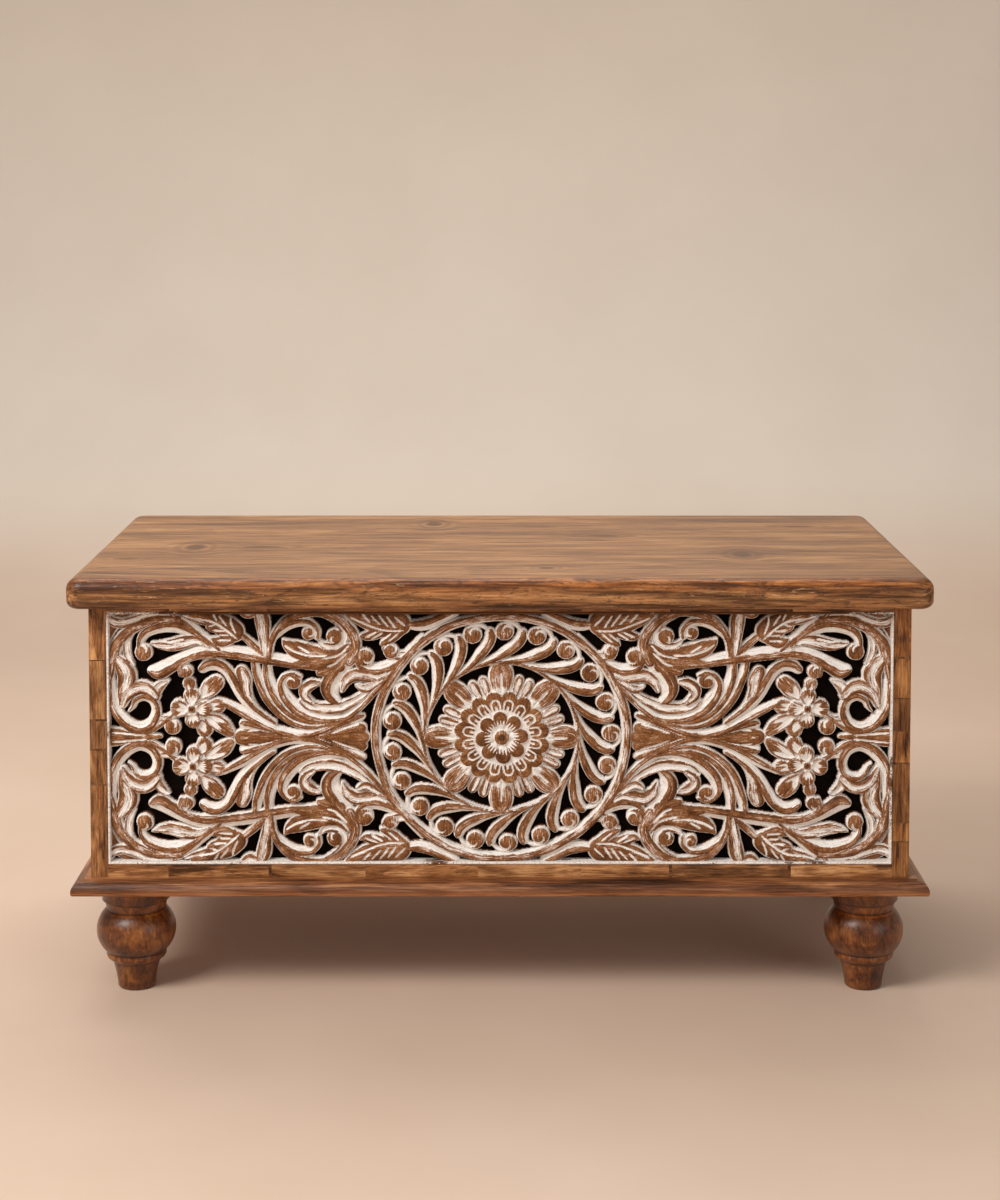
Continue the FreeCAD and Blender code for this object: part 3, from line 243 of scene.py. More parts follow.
# Beads and curl ends: x, y and radius in pixels, crest, and the clock angle of the pale crescent
QUARTER_BEADS = {
    "arch_bead": (142.5, 652.5, 9.0, 14.0, -45),
    "branch_bead": (185, 672, 7.2, 14.4, -70),
    "scroll_bead": (292.5, 682, 8.0, 13.8, -100),
    "curl_bead": (308, 634, 7.0, 13.2, 40),
    "spiral_bead": (333.5, 636.5, 8.6, 14.2, 150),
    "ring_bead": (364, 658, 9.4, 14.4, 80),
    "bud_bead": (390, 652.5, 8.0, 13.8, 0),
    "hook_bead": (171, 728, 8.6, 13.2, -30),
}

# Petals of the small flower: crest, how far its pale strokes reach, then x, y and width in pixels
FLOWER_PX = (191, 709.5)
FLOWER_HEART_PX = 5.2
FLOWER_PETALS = (
    (11.4, 30, ((189, 690, 10), (188, 685, 14))),
    (11.6, 34, ((201, 698, 9), (208, 690, 18), (214, 684, 17))),
    (11.6, 33, ((208, 707, 10), (216, 707, 17))),
    (11.8, 44, ((203, 717, 7), (212, 721, 15), (221, 726, 17), (229, 733, 11))),
    (11.6, 32, ((198, 722, 9), (203, 730, 18))),
    (14.4, 17.5, ((191, 704, 8), (191, 697.5, 18))),
    (14.2, 17.0, ((196, 709.5, 8), (203, 709.5, 18))),
    (14.4, 17.5, ((191.5, 715, 8), (192, 720.5, 18))),
    (14.6, 17.5, ((186, 709.5, 8), (179, 709, 20))),
)

# The medallion, in mm from its centre and degrees clockwise; blades and caps are turn, radius and width
MEDALLION_SHIFT, MEDALLION_SQUASH = 1.6, 0.975
RING_RADIUS, RING_HALF = 133.4, 5.5
EYE_RADIUS, EYE_HALF = 82.0, 2.9
SWIRL_COUNT = 21
SWIRL_START, SWIRL_SWAY, SWIRL_SWAY_START = -4.6, 2.2, 6.0
SWIRL_BLADE = (
    (-1, 82.5, 4), (11, 83.5, 6), (21, 88, 9.5), (28, 95.5, 12.8), (32.6, 104, 13.4), (34.4, 111.5, 12.6),
    (34.4, 117, 10.5),
)
SWIRL_BEAD, SWIRL_BEAD_GROOVE = (25.2, 117, 10.0), 75
SWIRL_CAP = ((33.5, 119.5, 4), (30, 125, 5), (25.5, 127.5, 4))
# Petals are radius and width
DISC_RADIUS, DISC_EDGE, DISC_WASH = 56.0, 6.0, 0.75
PETAL_COUNT = 8
BIG_PETAL = ((50, 13), (56, 20), (62, 25), (67.5, 27), (72, 24), (76, 16), (78.5, 7))
SMALL_PETAL = ((48, 8), (56, 10.5), (61, 11.5), (65, 10.5))
SMALL_PETAL_TURNS = (17.2, 27.8)
SCALLOP_COUNT = 16
SCALLOP_REACH, SCALLOP_LOBE = 52.0, 9.8
LOOP_ROOT, LOOP_END, LOOP_HALF = 28.0, 37.0, 4.2
HEART_PETAL = ((10, 8), (14, 13), (18, 17), (20.5, 18))
HEART_TURN = -5.0
BUTTON_RADIUS = 9.0
# Heights above the panel's back in mm
CRESTS = {
    "ring": 14.0, "eye": 11.6, "blade": 12.6, "cap": 9.5, "swirl_bead": 13.4, "disc": 8.0,
    "small_petal": 10.6, "big_petal": 12.0, "scallops": 12.8, "heart_petal": 14.6, "button": 15.8,
    "flower_button": 15.6,
}

# Linear colours; those of wood are deep streak, body and pale streak
LID_TONES = ((0.13, 0.05, 0.017), (0.315, 0.142, 0.055), (0.52, 0.275, 0.12))
FRAME_TONES = ((0.06, 0.02, 0.005), (0.3, 0.122, 0.04), (0.66, 0.35, 0.15))
PLINTH_TONES = ((0.045, 0.015, 0.005), (0.22, 0.08, 0.028), (0.5, 0.24, 0.1))
FOOT_TONES = ((0.022, 0.005, 0.001), (0.14, 0.037, 0.006), (0.36, 0.13, 0.028))
PLANK_TONES = ((0.085, 0.032, 0.01), (0.29, 0.122, 0.043), (0.52, 0.27, 0.115))
INNER_TONES = ((0.13, 0.06, 0.025), (0.29, 0.155, 0.075), (0.42, 0.25, 0.13))
CARVED_BROWN = ((0.07, 0.02, 0.004), (0.235, 0.084, 0.021), (0.45, 0.2, 0.074))
WHITEWASH = ((0.58, 0.46, 0.37), (0.93, 0.9, 0.86))
# Brown of the border where its paint is worn, and where it stands for the lid's shadow along the top
BORDER_WORN_AND_SHADED = (0.12, 0.045, 0.014)
# Dark stain of the backing board, darkened to near black as painted shade in the piercings
BACKING_STAIN_AND_SHADE = ((0.0025, 0.0015, 0.001), (0.007, 0.0042, 0.0028))
DENT_TONE, SCRATCH_TONE = (0.06, 0.024, 0.01), (0.62, 0.36, 0.18)
HINGE_STEEL, SCREW_STEEL = (0.42, 0.38, 0.33), (0.5, 0.46, 0.4)
FLOOR_TONES = ((0.65, 0.485, 0.37), (0.69, 0.525, 0.41))
BACKDROP_TONES = ((0.76, 0.66, 0.56), (0.8, 0.7, 0.6))
# Shades that a colour is multiplied by
FINE_SHADES = ((0.74, 0.72, 0.7), (1.06, 1.05, 1.04))
EDGE_SHADES = ((0.33, 0.28, 0.23), (1.5, 1.45, 1.35))
# A golden tint that is also painted shade, dimming the highlight on the lid's upper round
GOLDEN_TINT_AND_SHADE = ((0.92, 0.72, 0.5), (0.62, 0.44, 0.27))
# Painted shade beside the pale outlines and on the walls of the piercings
OUTLINE_PAINTED_SHADE = ((0.34, 0.27, 0.22), (1, 1, 1))
MARK_SHARE, TARNISH_SHARE = 0.6, 0.55

# Streaks per metre along and across, how much rings, streaks, clouds and fibres count, and dark flecks
LID_FIGURE = (6.0, 60.0, 0.17, 1.0, 0.6, 0.85, 0.5)
FRAME_FIGURE = (20.0, 110.0, 0.2, 0.95, 0.85, 0.85, 0.8)
PLANK_FIGURE = (5.0, 70.0, 0.26, 0.75, 0.5, 0.8, 0.35)
PLINTH_FIGURE = (9.0, 120.0, 0.12, 0.95, 0.8, 0.8, 0.6)
FOOT_FIGURE = (55.0, 70.0, 0.03, 0.75, 0.65, 0.6, 0.15)
FINE_LINES = (24, 900)
RING_DRIFT, RING_COUNT = 0.6, 18.0
KNOT_RINGS = 9.0
GRAIN_TURNS = {"x": (0, 0, 0), "y": (0, 0, math.pi / 2), "z": (0, math.pi / 2, 0)}
# Knots and slits of the lid: place along and across in metres, then half length and half width
LID_KNOTS = (
    (-0.346, -0.021, 0.024, 0.04), (-0.27, -0.018, 0.05, 0.015), (-0.413, -0.097, 0.03, 0.01),
    (0.12, 0.06, 0.04, 0.014), (0.27, -0.07, 0.022, 0.036), (0.05, -0.155, 0.018, 0.014),
    (-0.08, 0.15, 0.02, 0.036), (0.36, 0.13, 0.04, 0.014),
)
# The lid's front edge in metres: where its wear sets in, and how far below its top the golden round ends;
# that round is also darkened as painted shade where it faces the light
LID_EDGE_Y, LID_EDGE_DROP = (-0.208, -0.2175), (0.016, 0.006)
# The border's painted shade under the lid, in metres: how far below its top it ends, and how far from the
# middle it weakens
BORDER_SHADE_TOP, BORDER_SHADE_MIDDLE = (0.012, 0.004), (0.25, 0.36)
# Heights in metres over which the floor's colour turns to the backdrop's
BACKDROP_FADE = (0.0, 0.25)
# Walls of planks: start of their names, way of the grain, seed; then rows of planks and their seeds
WALLS = (("side_plank_left_", "y", 1.0), ("side_plank_right_", "y", 2.0), ("back_plank_", "x", 4.0))
WALL_ROWS = (("lower", 1.4), ("middle", 3.5), ("upper", 5.6))
PLANK_JOINT = 0.0024
# Short blocks of the front frame: seed, tint, then the share of the length where each starts and its tone
BLOCK_JOINT, BLOCK_JOINT_TONE = 0.0016, (0.42, 0.36, 0.3)
STILE_BLOCKS = {
    "left": (2.0, (1.0, 0.98, 0.95), ((0.0, 1.05), (0.34, 0.92), (0.47, 0.7), (0.58, 0.9), (0.8, 1.1))),
    "right": (6.0, (0.92, 0.79, 0.58), (
        (0.0, 0.8), (0.13, 0.95), (0.2, 0.72), (0.42, 0.9), (0.54, 0.58), (0.66, 0.85), (0.81, 0.98))),
}
RAIL_BLOCKS = (8.3, (1.0, 0.97, 0.93), (
    (0.0, 1.1), (0.085, 1.2), (0.21, 0.95), (0.33, 1.25), (0.47, 1.0), (0.6, 1.2), (0.71, 0.9), (0.86, 1.15)))
# Tones up the plinth, and painted shade and highlights up the turned foot, by share of the height
PLINTH_BANDS = (
    (0.1, (1.9, 1.75, 1.4)), (0.3, (0.95, 0.88, 0.86)), (0.6, (0.72, 0.7, 0.8)), (0.95, (1.1, 1.02, 0.95)),
)
# Painted shade in the foot's grooves and darker at its top and toe, painted highlights on its rings, its ball
# lighter across the middle
FOOT_SHADE_AND_HIGHLIGHT_BANDS = (
    (0.0, 0.8), (0.05, 0.95), (0.245, 1.0), (0.262, 0.55), (0.285, 1.05), (0.325, 1.4), (0.343, 1.2),
    (0.353, 0.45), (0.39, 0.85), (0.5, 1.12), (0.62, 1.08), (0.7, 0.85), (0.726, 0.95), (0.735, 1.75),
    (0.741, 1.7), (0.75, 0.45), (0.775, 1.1), (0.818, 1.2), (0.832, 0.5), (0.855, 1.0), (0.95, 0.9),
    (1.0, 0.8),
)
FASTENERS = ("screws", "bolts")


class Relief:
    """A carved board seen from the front, as heights above its back on an even grid."""

    def __init__(self, low, high):
        counts = [int(round((high[axis] - low[axis]) / STEP)) + 1 for axis in (0, 1)]
        self.xs = np.linspace(low[0], high[0], counts[0])
        self.zs = np.linspace(low[1], high[1], counts[1])
        self.field = np.full(counts, -FAR)
        self.height = np.zeros(counts)
        self.wash_and_shade = np.zeros(counts)
        self.rim = np.zeros(counts)
        self.grain = np.zeros(counts + [3])
        self.count = 0

    def grid(self):
        return np.meshgrid(self.xs, self.zs, indexing="ij")

    def window(self, points, reach):
        """The part of the grid within reach of some points, as slices and coordinates."""
        spans = []
        for axis, places in ((0, self.xs), (1, self.zs)):
            first = np.searchsorted(places, points[:, axis].min() - reach)
            last = np.searchsorted(places, points[:, axis].max() + reach)
            spans.append(slice(first, max(first, last)))
        x, z = np.meshgrid(self.xs[spans[0]], self.zs[spans[1]], indexing="ij")
        return tuple(spans), x, z

    def near_line(self, line):
        """The window round a line with half widths, and what stroke_field says in it."""
        part, x, z = self.window(line, line[:, 2].max() + REACH)
        return (part, x, z) + stroke_field(line, x, z)

    def near_point(self, centre, radius):
        """The window round a disc, with x, z and distance from its centre."""
        part, x, z = self.window(np.array([centre]), radius + REACH)
        return part, x - centre[0], z - centre[1], np.hypot(x - centre[0], z - centre[1])

    def lay(self, part, field, height, wash_and_shade, edge, along, across):
        """Adds one raised element with a sloping skirt round it: the higher surface shows."""
        self.count += 1
        outline = 1.5 * fade(*OUTLINE, field) - 0.5
        fall = np.clip(-field / SKIRT, 0.0, 1.0)
        surface = np.where(field > 0, height, edge * (0.9 - 0.5 * fall ** 0.8))
        # The skirt's paint runs from pale at its top to painted shade at its foot
        paint = np.where(field > 0, np.maximum(wash_and_shade, outline), 0.9 - 1.4 * fall)
        shown = (field > -SKIRT) & (surface > self.height[part])
        self.height[part][shown] = surface[shown]
        self.wash_and_shade[part][shown] = paint[shown]
        own = np.full(field.shape, GRAIN_SHIFT * self.count)
        for slot, values in enumerate((along, across, own)):
            self.grain[part + (slot,)][shown] = values[shown]
        nearer = field + SKIRT > self.field[part]
        self.field[part][nearer] = field[nearer] + SKIRT
        self.rim[part][nearer] = edge * RIM_SHARE


def smooth_step(low, high, values):
    share = np.clip((values - low) / (high - low), 0.0, 1.0)
    return share * share * (3.0 - 2.0 * share)


def fade(low, high, values):
    return 1.0 - smooth_step(low, high, values)


def dome(share):
    """The height of a half ball at a share of its radius."""
    return np.sqrt(np.clip(1.0 - share ** 2, 0.0, 1.0))


def on_plan(x_px, y_px, panel):
    """A pixel of the photograph as mm from the middle of the panel."""
    x = (x_px - PLAN_CENTRE_PX[0]) * panel["half_x"] / PLAN_HALF_PX[0]
    return x, (PLAN_CENTRE_PX[1] - y_px) * panel["half_z"] / PLAN_HALF_PX[1]


def plan_scale(panel):
    return panel["half_x"] / PLAN_HALF_PX[0]


def plan_line(rows, panel):
    """A smooth line through rows of x, y and width in pixels, as mm with half widths."""
    scale = plan_scale(panel)
    return smooth_line([on_plan(x, y, panel) + (width / 2 * scale,) for x, y, width in rows])


def smooth_line(points, pieces=7):
    """A Catmull-Rom line through rows of numbers."""
    rows = np.array(points, float)
    ends = np.vstack([2 * rows[0] - rows[1], rows, 2 * rows[-1] - rows[-2]])
    line = []
    for index in range(len(rows) - 1):
        a, b, c, d = ends[index:index + 4]
        bend = 2 * a - 5 * b + 4 * c - d
        twist = 3 * b - a - 3 * c + d
        for t in np.arange(pieces) / pieces:
            line.append(0.5 * (2 * b + (c - a) * t + bend * t ** 2 + twist * t ** 3))
    line.append(rows[-1])
    return np.array(line)


def stroke_field(line, x, z):
    """How far inside a stroke each point is, its place along and across, and the half width there."""
    best = np.full(x.shape, -FAR)
    along, across, half = np.zeros(x.shape), np.zeros(x.shape), np.ones(x.shape)
    start = 0.0
    for a, b in zip(line[:-1], line[1:]):
        step = b - a
        length = max(math.hypot(step[0], step[1]), 1e-6)
        t = np.clip(((x - a[0]) * step[0] + (z - a[1]) * step[1]) / length ** 2, 0.0, 1.0)
        off_x, off_z = x - a[0] - t * step[0], z - a[1] - t * step[1]
        distance = np.hypot(off_x, off_z)
        width = np.maximum(a[2] + t * step[2], LEAST_HALF)
        inside = width - distance
        better = inside > best
        best[better] = inside[better]
        along[better] = (start + t * length)[better]
        side = np.where(step[0] * off_z - step[1] * off_x >= 0, 1.0, -1.0)
        across[better] = (side * distance)[better]
        half[better] = width[better]
        start += length
    return best, along, across, half


def section_values(name, place):
    """Height share and whitewash of a section; white_right is white_left turned over."""
    flip = -1.0 if name == "white_right" else 1.0
    rows = np.array(SECTIONS["white_left" if name == "white_right" else name], float)
    place = np.clip(place * flip, -1.0, 1.0)
    return np.interp(place, rows[:, 0], rows[:, 1]), np.interp(place, rows[:, 0], rows[:, 2])


def carve_stroke(relief, line, section, crest):
    part, _, _, field, along, across, half = relief.near_line(line)
    share, wash_and_shade = section_values(section, across / half)
    relief.lay(part, field, crest * share, wash_and_shade, crest * 0.5, along, across)


def carve_vein(relief, line):
    """A pale line cut into whatever is there, thin at its ends."""
    part, _, _, field, along, _, half = relief.near_line(line)
    ends = smooth_step(0.0, 2.5, along) * smooth_step(0.0, 2.5, along.max() - along)
    cut = smooth_step(-0.55, 0.35, field - 0.5 * half * (1.0 - ends))
    cut = cut * (relief.field[part] > 1.0)
    relief.height[part] -= VEIN_CUT * cut
    relief.wash_and_shade[part] = np.maximum(relief.wash_and_shade[part], 1.6 * cut - 0.6)


def carve_bead(relief, centre, radius, crest, turn, hand=1.0):
    """A round bead, with a pale groove that winds in from its edge where a curl ends on it."""
    part, x, z, distance = relief.near_point(centre, radius)
    angle = np.mod(hand * (np.arctan2(x, z) - math.radians(turn)), 2 * math.pi)
    winding = radius * (1.05 - 0.36 * angle)
    groove = fade(0.0, 0.9, np.abs(distance - winding) - 1.3 + 0.45 * angle)
    groove = groove * (angle < 2.4)
    height = crest * (0.66 + 0.34 * dome(distance / radius)) - BEAD_CUT * groove
    relief.lay(part, radius - distance, height, groove, crest * 0.6, z, x)


def carve_petal(relief, line, crest, heart, reach):
    """A cupped petal: pale strokes run out from the flower's heart to a brown lip."""
    part, x, z, field, _, _, _ = relief.near_line(line)
    out = np.hypot(x - heart[0], z - heart[1]) / reach
    angle = np.arctan2(z - heart[1], x - heart[0])
    strokes = 0.5 + 0.5 * np.cos(24.0 * angle + 4.0 * np.sin(3.0 * angle))
    inner = smooth_step(2.6, 4.6, field)
    wash_and_shade = inner * fade(0.5, 0.72, out - 0.2 * strokes) + (1.0 - inner) * 0.1
    wash_and_shade = np.maximum(wash_and_shade, 0.9 * fade(0.28, 0.42, out))
    cup = inner * fade(0.4, 0.9, out)
    height = crest * (0.72 + 0.28 * smooth_step(0.0, 2.6, field)) - CUP_CUT * cup
    relief.lay(part, field, height, wash_and_shade, crest * 0.6, out * reach, angle * reach)


def carve_ring(relief, radius, half, section, crest):
    x, z = relief.grid()
    part = (slice(None), slice(None))
    across = radius - np.hypot(x, z)
    share, wash_and_shade = section_values(section, across / half)
    along = radius * np.arctan2(x, z)
    relief.lay(part, half - np.abs(across), crest * share, wash_and_shade, crest * 0.5, along, across)


def turned(radius, degrees):
    """A point at a radius, turned clockwise from straight up."""
    angle = math.radians(degrees)
    return radius * math.sin(angle), radius * math.cos(angle)


def radial_line(rows, degrees):
    return smooth_line([turned(radius, degrees) + (width / 2,) for radius, width in rows])


def carve_swirl(relief):
    """Blades that leave the eye and curl over a bead inside the ring, unevenly spaced by hand."""
    strokes = ((SWIRL_BLADE, "blade", CRESTS["blade"]), (SWIRL_CAP, "paint", CRESTS["cap"]))
    for index in range(SWIRL_COUNT):
        sway = SWIRL_SWAY * math.sin(2 * math.pi * (index - SWIRL_SWAY_START) / SWIRL_COUNT)
        root = SWIRL_START + sway + 360.0 * index / SWIRL_COUNT
        for rows, section, crest in strokes:
            line = smooth_line([turned(radius, root + turn) + (width / 2,) for turn, radius, width in rows])
            carve_stroke(relief, line, section, crest)
        turn, radius, size = SWIRL_BEAD
        groove = root + turn + SWIRL_BEAD_GROOVE
        carve_bead(relief, turned(radius, root + turn), size, CRESTS["swirl_bead"], groove, -1.0)


def carve_button(relief, centre, radius, crest):
    """The round boss of a flower, in a pale ring."""
    part, x, _, distance = relief.near_point(centre, radius)
    dot = fade(0.3, 0.5, distance / radius)
    height = crest * (0.74 + 0.26 * dome(distance / radius)) - DOT_CUT * dot
    relief.lay(part, radius - distance, height, -0.5 * dot, crest * 0.7, distance, x + centre[0])


def carve_scallops(relief, crest):
    """A brown round-lobed plate, with a pale loop and a short pale line cut inside each lobe."""
    part, x, z, radius = relief.near_point((0.0, 0.0), SCALLOP_REACH)
    centre = SCALLOP_REACH - SCALLOP_LOBE
    field = centre + 1.5 - radius
    groove = fade(LOOP_ROOT + 1.0, LOOP_ROOT + 3.5, radius)
    for index in range(SCALLOP_COUNT):
        turn = 360.0 * (index + 0.5) / SCALLOP_COUNT
        at = turned(centre, turn)
        field = np.maximum(field, SCALLOP_LOBE - np.hypot(x - at[0], z - at[1]))
        inside, along, _, _ = stroke_field(radial_line(((LOOP_ROOT, 0), (LOOP_END, 0)), turn), x, z)
        gap = np.abs(inside)
        loop = fade(0.5, 1.3, np.abs(gap - LOOP_HALF))
        line = fade(0.3, 1.1, gap) * (along < LOOP_END - LOOP_ROOT - 2.0)
        groove = np.maximum(groove, np.maximum(loop * (radius > LOOP_ROOT), line))
    height = crest * (0.72 + 0.28 * smooth_step(0.0, 2.2, field)) - LOOP_CUT * groove
    relief.lay(part, field, height, 1.1 * groove - 0.1, crest * 0.62, radius, 30.0 * np.arctan2(x, z))


def carve_veined_petal(relief, line, crest):
    """A broad petal with one straight pale vein in its lower part."""
    part, _, _, field, along, across, _ = relief.near_line(line)
    vein = fade(0.7, 1.5, np.abs(across)) * fade(19.0, 21.0, along)
    height = crest * (0.74 + 0.26 * smooth_step(0.0, 4.5, field)) - PETAL_VEIN_CUT * vein
    root = fade(3.0, 10.0, along)
    wash_and_shade = np.maximum(np.maximum(vein, 0.1), 0.7 * root)
    relief.lay(part, field, height, wash_and_shade, crest * 0.65, along, across)


def carve_heart_petal(relief, line, crest):
    """An inner petal: brown at its round end, with pale strokes towards the middle."""
    part, x, z, field, along, across, _ = relief.near_line(line)
    out = np.hypot(x, z)
    strokes = 0.5 + 0.5 * np.cos(across * 1.75)
    wash_and_shade = 1.2 * fade(10.5, 13.5, out - 7.0 * strokes) - 0.2
    cup = fade(9.0, 20.0, out)
    height = crest * (0.78 + 0.22 * smooth_step(0.0, 3.0, field)) - HEART_CUT * cup
    relief.lay(part, field, height, wash_and_shade, crest * 0.72, along, across)


def carve_rosette(relief):
    """A pale disc, two rows of petals round it, a lobed plate, a small flower and its button."""
    part, x, _, distance = relief.near_point((0.0, 0.0), DISC_RADIUS)
    level, pale = np.full(x.shape, CRESTS["disc"]), np.full(x.shape, DISC_WASH)
    relief.lay(part, DISC_RADIUS - distance, level, pale, DISC_EDGE, distance, x)
    turns = [360.0 * index / PETAL_COUNT for index in range(PETAL_COUNT)]
    for turn in turns:
        for further in SMALL_PETAL_TURNS:
            carve_stroke(relief, radial_line(SMALL_PETAL, turn + further), "soft", CRESTS["small_petal"])
        carve_veined_petal(relief, radial_line(BIG_PETAL, turn), CRESTS["big_petal"])
    carve_scallops(relief, CRESTS["scallops"])
    for turn in turns:
        carve_heart_petal(relief, radial_line(HEART_PETAL, turn + HEART_TURN), CRESTS["heart_petal"])
    carve_button(relief, (0.0, 0.0), BUTTON_RADIUS, CRESTS["button"])


def quarter_relief(panel):
    """The upper left quarter of the scrollwork, cut off at the medallion's ring."""
    low = (-panel["half_x"] + FIELD_INSET, STEP / 2)
    relief = Relief(low, (-STEP / 2, panel["half_z"] - FIELD_INSET))
    scale = plan_scale(panel)
    for table in (QUARTER_STROKES, AXIS_STROKES):
        for section, crest, points in table.values():
            carve_stroke(relief, plan_line(points, panel), section, crest)
    for points in QUARTER_VEINS:
        carve_vein(relief, plan_line([point + (VEIN_PX,) for point in points], panel))
    for x, y, radius, crest, turn in QUARTER_BEADS.values():
        carve_bead(relief, on_plan(x, y, panel), radius * scale, crest, turn)
    heart = on_plan(*FLOWER_PX, panel)
    for crest, reach, points in FLOWER_PETALS:
        carve_petal(relief, plan_line(points, panel), crest, heart, reach * scale)
    carve_button(relief, heart, FLOWER_HEART_PX * scale, CRESTS["flower_button"])
    x, z = relief.grid()
    relief.field = np.minimum(relief.field, np.hypot(x, z / MEDALLION_SQUASH) - RING_RADIUS)
    return relief


def medallion_relief(panel):
    """The round middle, carved as a circle and then pressed and moved a little."""
    reach = RING_RADIUS + RING_HALF + 2 * STEP
    up = (panel["half_z"] - FIELD_INSET) / MEDALLION_SQUASH
    relief = Relief((-reach, -up), (reach, up))
    carve_ring(relief, RING_RADIUS, RING_HALF, "rim", CRESTS["ring"])
    carve_ring(relief, EYE_RADIUS, EYE_HALF, "round", CRESTS["eye"])
    carve_swirl(relief)
    carve_rosette(relief)
    relief.xs = relief.xs + MEDALLION_SHIFT
    relief.zs = relief.zs * MEDALLION_SQUASH
    return relief


def joined_below(relief):
    """The carving joined to its image below."""
    twin = copy.copy(relief)
    twin.zs = np.concatenate([-relief.zs[::-1], relief.zs])
    for name in GRID_VALUES:
        values = getattr(relief, name)
        setattr(twin, name, np.concatenate([values[:, ::-1], values], axis=1))
    return twin


def turned_over(relief):
    """The carving mirrored left to right."""
    twin = copy.copy(relief)
    twin.xs = -relief.xs[::-1]
    for name in GRID_VALUES:
        setattr(twin, name, getattr(relief, name)[::-1].copy())
    return twin


def blurred(values, radius):
    """A Gaussian blur by way of the Fourier transform."""
    rates = [np.fft.fftfreq(values.shape[0])[:, None], np.fft.rfftfreq(values.shape[1])[None, :]]
    fall = np.exp(-2.0 * (math.pi * radius / STEP) ** 2 * (rates[0] ** 2 + rates[1] ** 2))
    return np.fft.irfft2(np.fft.rfft2(values) * fall, s=values.shape)


def whitewash(relief):
    """Paint stays in the hollows and beside steps, and is rubbed off the crests."""
    depth = blurred(relief.height, HOLLOW_REACH) - relief.height
    hollow = np.clip((depth - HOLLOW_FROM) / HOLLOW_SPAN, 0.0, 1.0)
    return np.maximum(relief.wash_and_shade, 1.5 * hollow - 0.5)


def hand_drift(x, z):
    """The small unevenness of work done by hand, in mm across and up."""
    return [
        sum(size * np.sin(by_x * x + by_z * z + start) for size, by_x, by_z, start in waves)
        for waves in HAND_WAVES
    ]


def join_corners(cell):
    """Fills a cell beside any two that touch only at a corner, so that the mesh stays closed."""
    low_left, high_right = cell[:-1, :-1], cell[1:, 1:]
    low_right, high_left = cell[1:, :-1], cell[:-1, 1:]
    for _ in range(3):
        low_right |= low_left & high_right & ~high_left
        low_left |= low_right & high_left & ~high_right


def cells_and_rim(relief):
    """Points inside, cells that hold wood, the points they use, their corners and the edges round them."""
    inside = relief.field > 0
    cell = inside[:-1, :-1] | inside[1:, :-1] | inside[:-1, 1:] | inside[1:, 1:]
    join_corners(cell)
    used = np.zeros(inside.shape, bool)
    for i, j in ((0, 0), (1, 0), (1, 1), (0, 1)):
        used[i:i + cell.shape[0], j:j + cell.shape[1]] |= cell
    number = np.cumsum(used.ravel()).reshape(used.shape) - 1
    wide = np.pad(cell, 1)
    rim = []
    for (across, up), start, end in CELL_SIDES:
        beside = np.roll(wide, (-across, -up), (0, 1))[1:-1, 1:-1]
        i, j = np.nonzero(cell & ~beside)
        rim.append(np.stack([number[i + start[0], j + start[1]], number[i + end[0], j + end[1]]], axis=1))
    i, j = np.nonzero(cell)
    quads = np.stack([number[i, j], number[i + 1, j], number[i + 1, j + 1], number[i, j + 1]], axis=1)
    return inside, cell, used, quads, np.concatenate(rim)


def snapped(relief, inside, used):
    """Grid points just outside the wood move onto its outline."""
    x, z = relief.grid()
    slope_x, slope_z = np.gradient(np.maximum(relief.field, -REACH), STEP)
    steep = np.maximum(slope_x ** 2 + slope_z ** 2, 0.3)
    shift = np.where(used & ~inside, np.clip(-relief.field, 0.0, 1.3 * STEP), 0.0)
    return x + shift * slope_x / steep, z + shift * slope_z / steep


def back_faces(cell, used, rim):
    """The rim's points, and triangles between them that close the back and leave the piercings open."""
    rows, places = np.unique(rim, return_inverse=True)
    grid = np.argwhere(used)[rows]
    flat = [Vector(point) for point in grid.astype(float)]
    made = delaunay_2d_cdt(flat, places.reshape(rim.shape).tolist(), [], 0, 1e-7, True)
    source = np.array([numbers[0] for numbers in made[3]])
    faces = source[np.array(made[2])]
    middle = np.floor(grid[faces].mean(axis=1)).astype(int)
    return rows, faces[cell[middle[:, 0], middle[:, 1]]][:, ::-1]


def relief_object(name, relief, panel):
    """Front surface, walls of the piercings and flat back, as one closed mesh."""
    inside, cell, used, quads, rim = cells_and_rim(relief)
    x, z = snapped(relief, inside, used)
    drift_x, drift_z = hand_drift(x, z)
    height = np.where(inside, relief.height, relief.rim)
    front = np.stack([x + drift_x, panel["back"] - height, z + drift_z], axis=-1)[used]
    rows, back = back_faces(cell, used, rim)
    rear = front[rows].copy()
    rear[:, 1] = panel["back"]
    below = len(front) + np.searchsorted(rows, rim)
    walls = np.stack([rim[:, 1], rim[:, 0], below[:, 0], below[:, 1]], axis=1)
    faces = quads.tolist() + walls.tolist() + (len(front) + back).tolist()
    points = np.concatenate([front, rear])
    points[:, 2] += panel["middle"]
    mesh = bpy.data.meshes.new(name)
    mesh.from_pydata((points * MM).tolist(), [], faces)
    # Walls, back and points off the wood get the value that paints them in shade
    wash_and_shade = np.where(inside, whitewash(relief), WALL_SHADE_WASH)[used]
    grain = relief.grain[used]
    add_values(mesh, "wash_and_shade", "FLOAT", "value", np.concatenate([wash_and_shade, np.full(len(rows), WALL_SHADE_WASH)]))
    add_values(mesh, "grain", "FLOAT_VECTOR", "vector", np.concatenate([grain, grain[rows]]))
    mesh.shade_smooth()
    mesh.set_sharp_from_angle(angle=math.radians(SHARP_DEGREES))
    return add_object(name, mesh)


def add_values(mesh, name, kind, field, values):
    """One value or vector for each point of the mesh, for its material to read."""
    mesh.attributes.new(name, kind, "POINT").data.foreach_set(field, values.astype(np.float32).ravel())


def add_object(name, data):
    made = bpy.data.objects.new(name, data)
    bpy.context.scene.collection.objects.link(made)
    return made


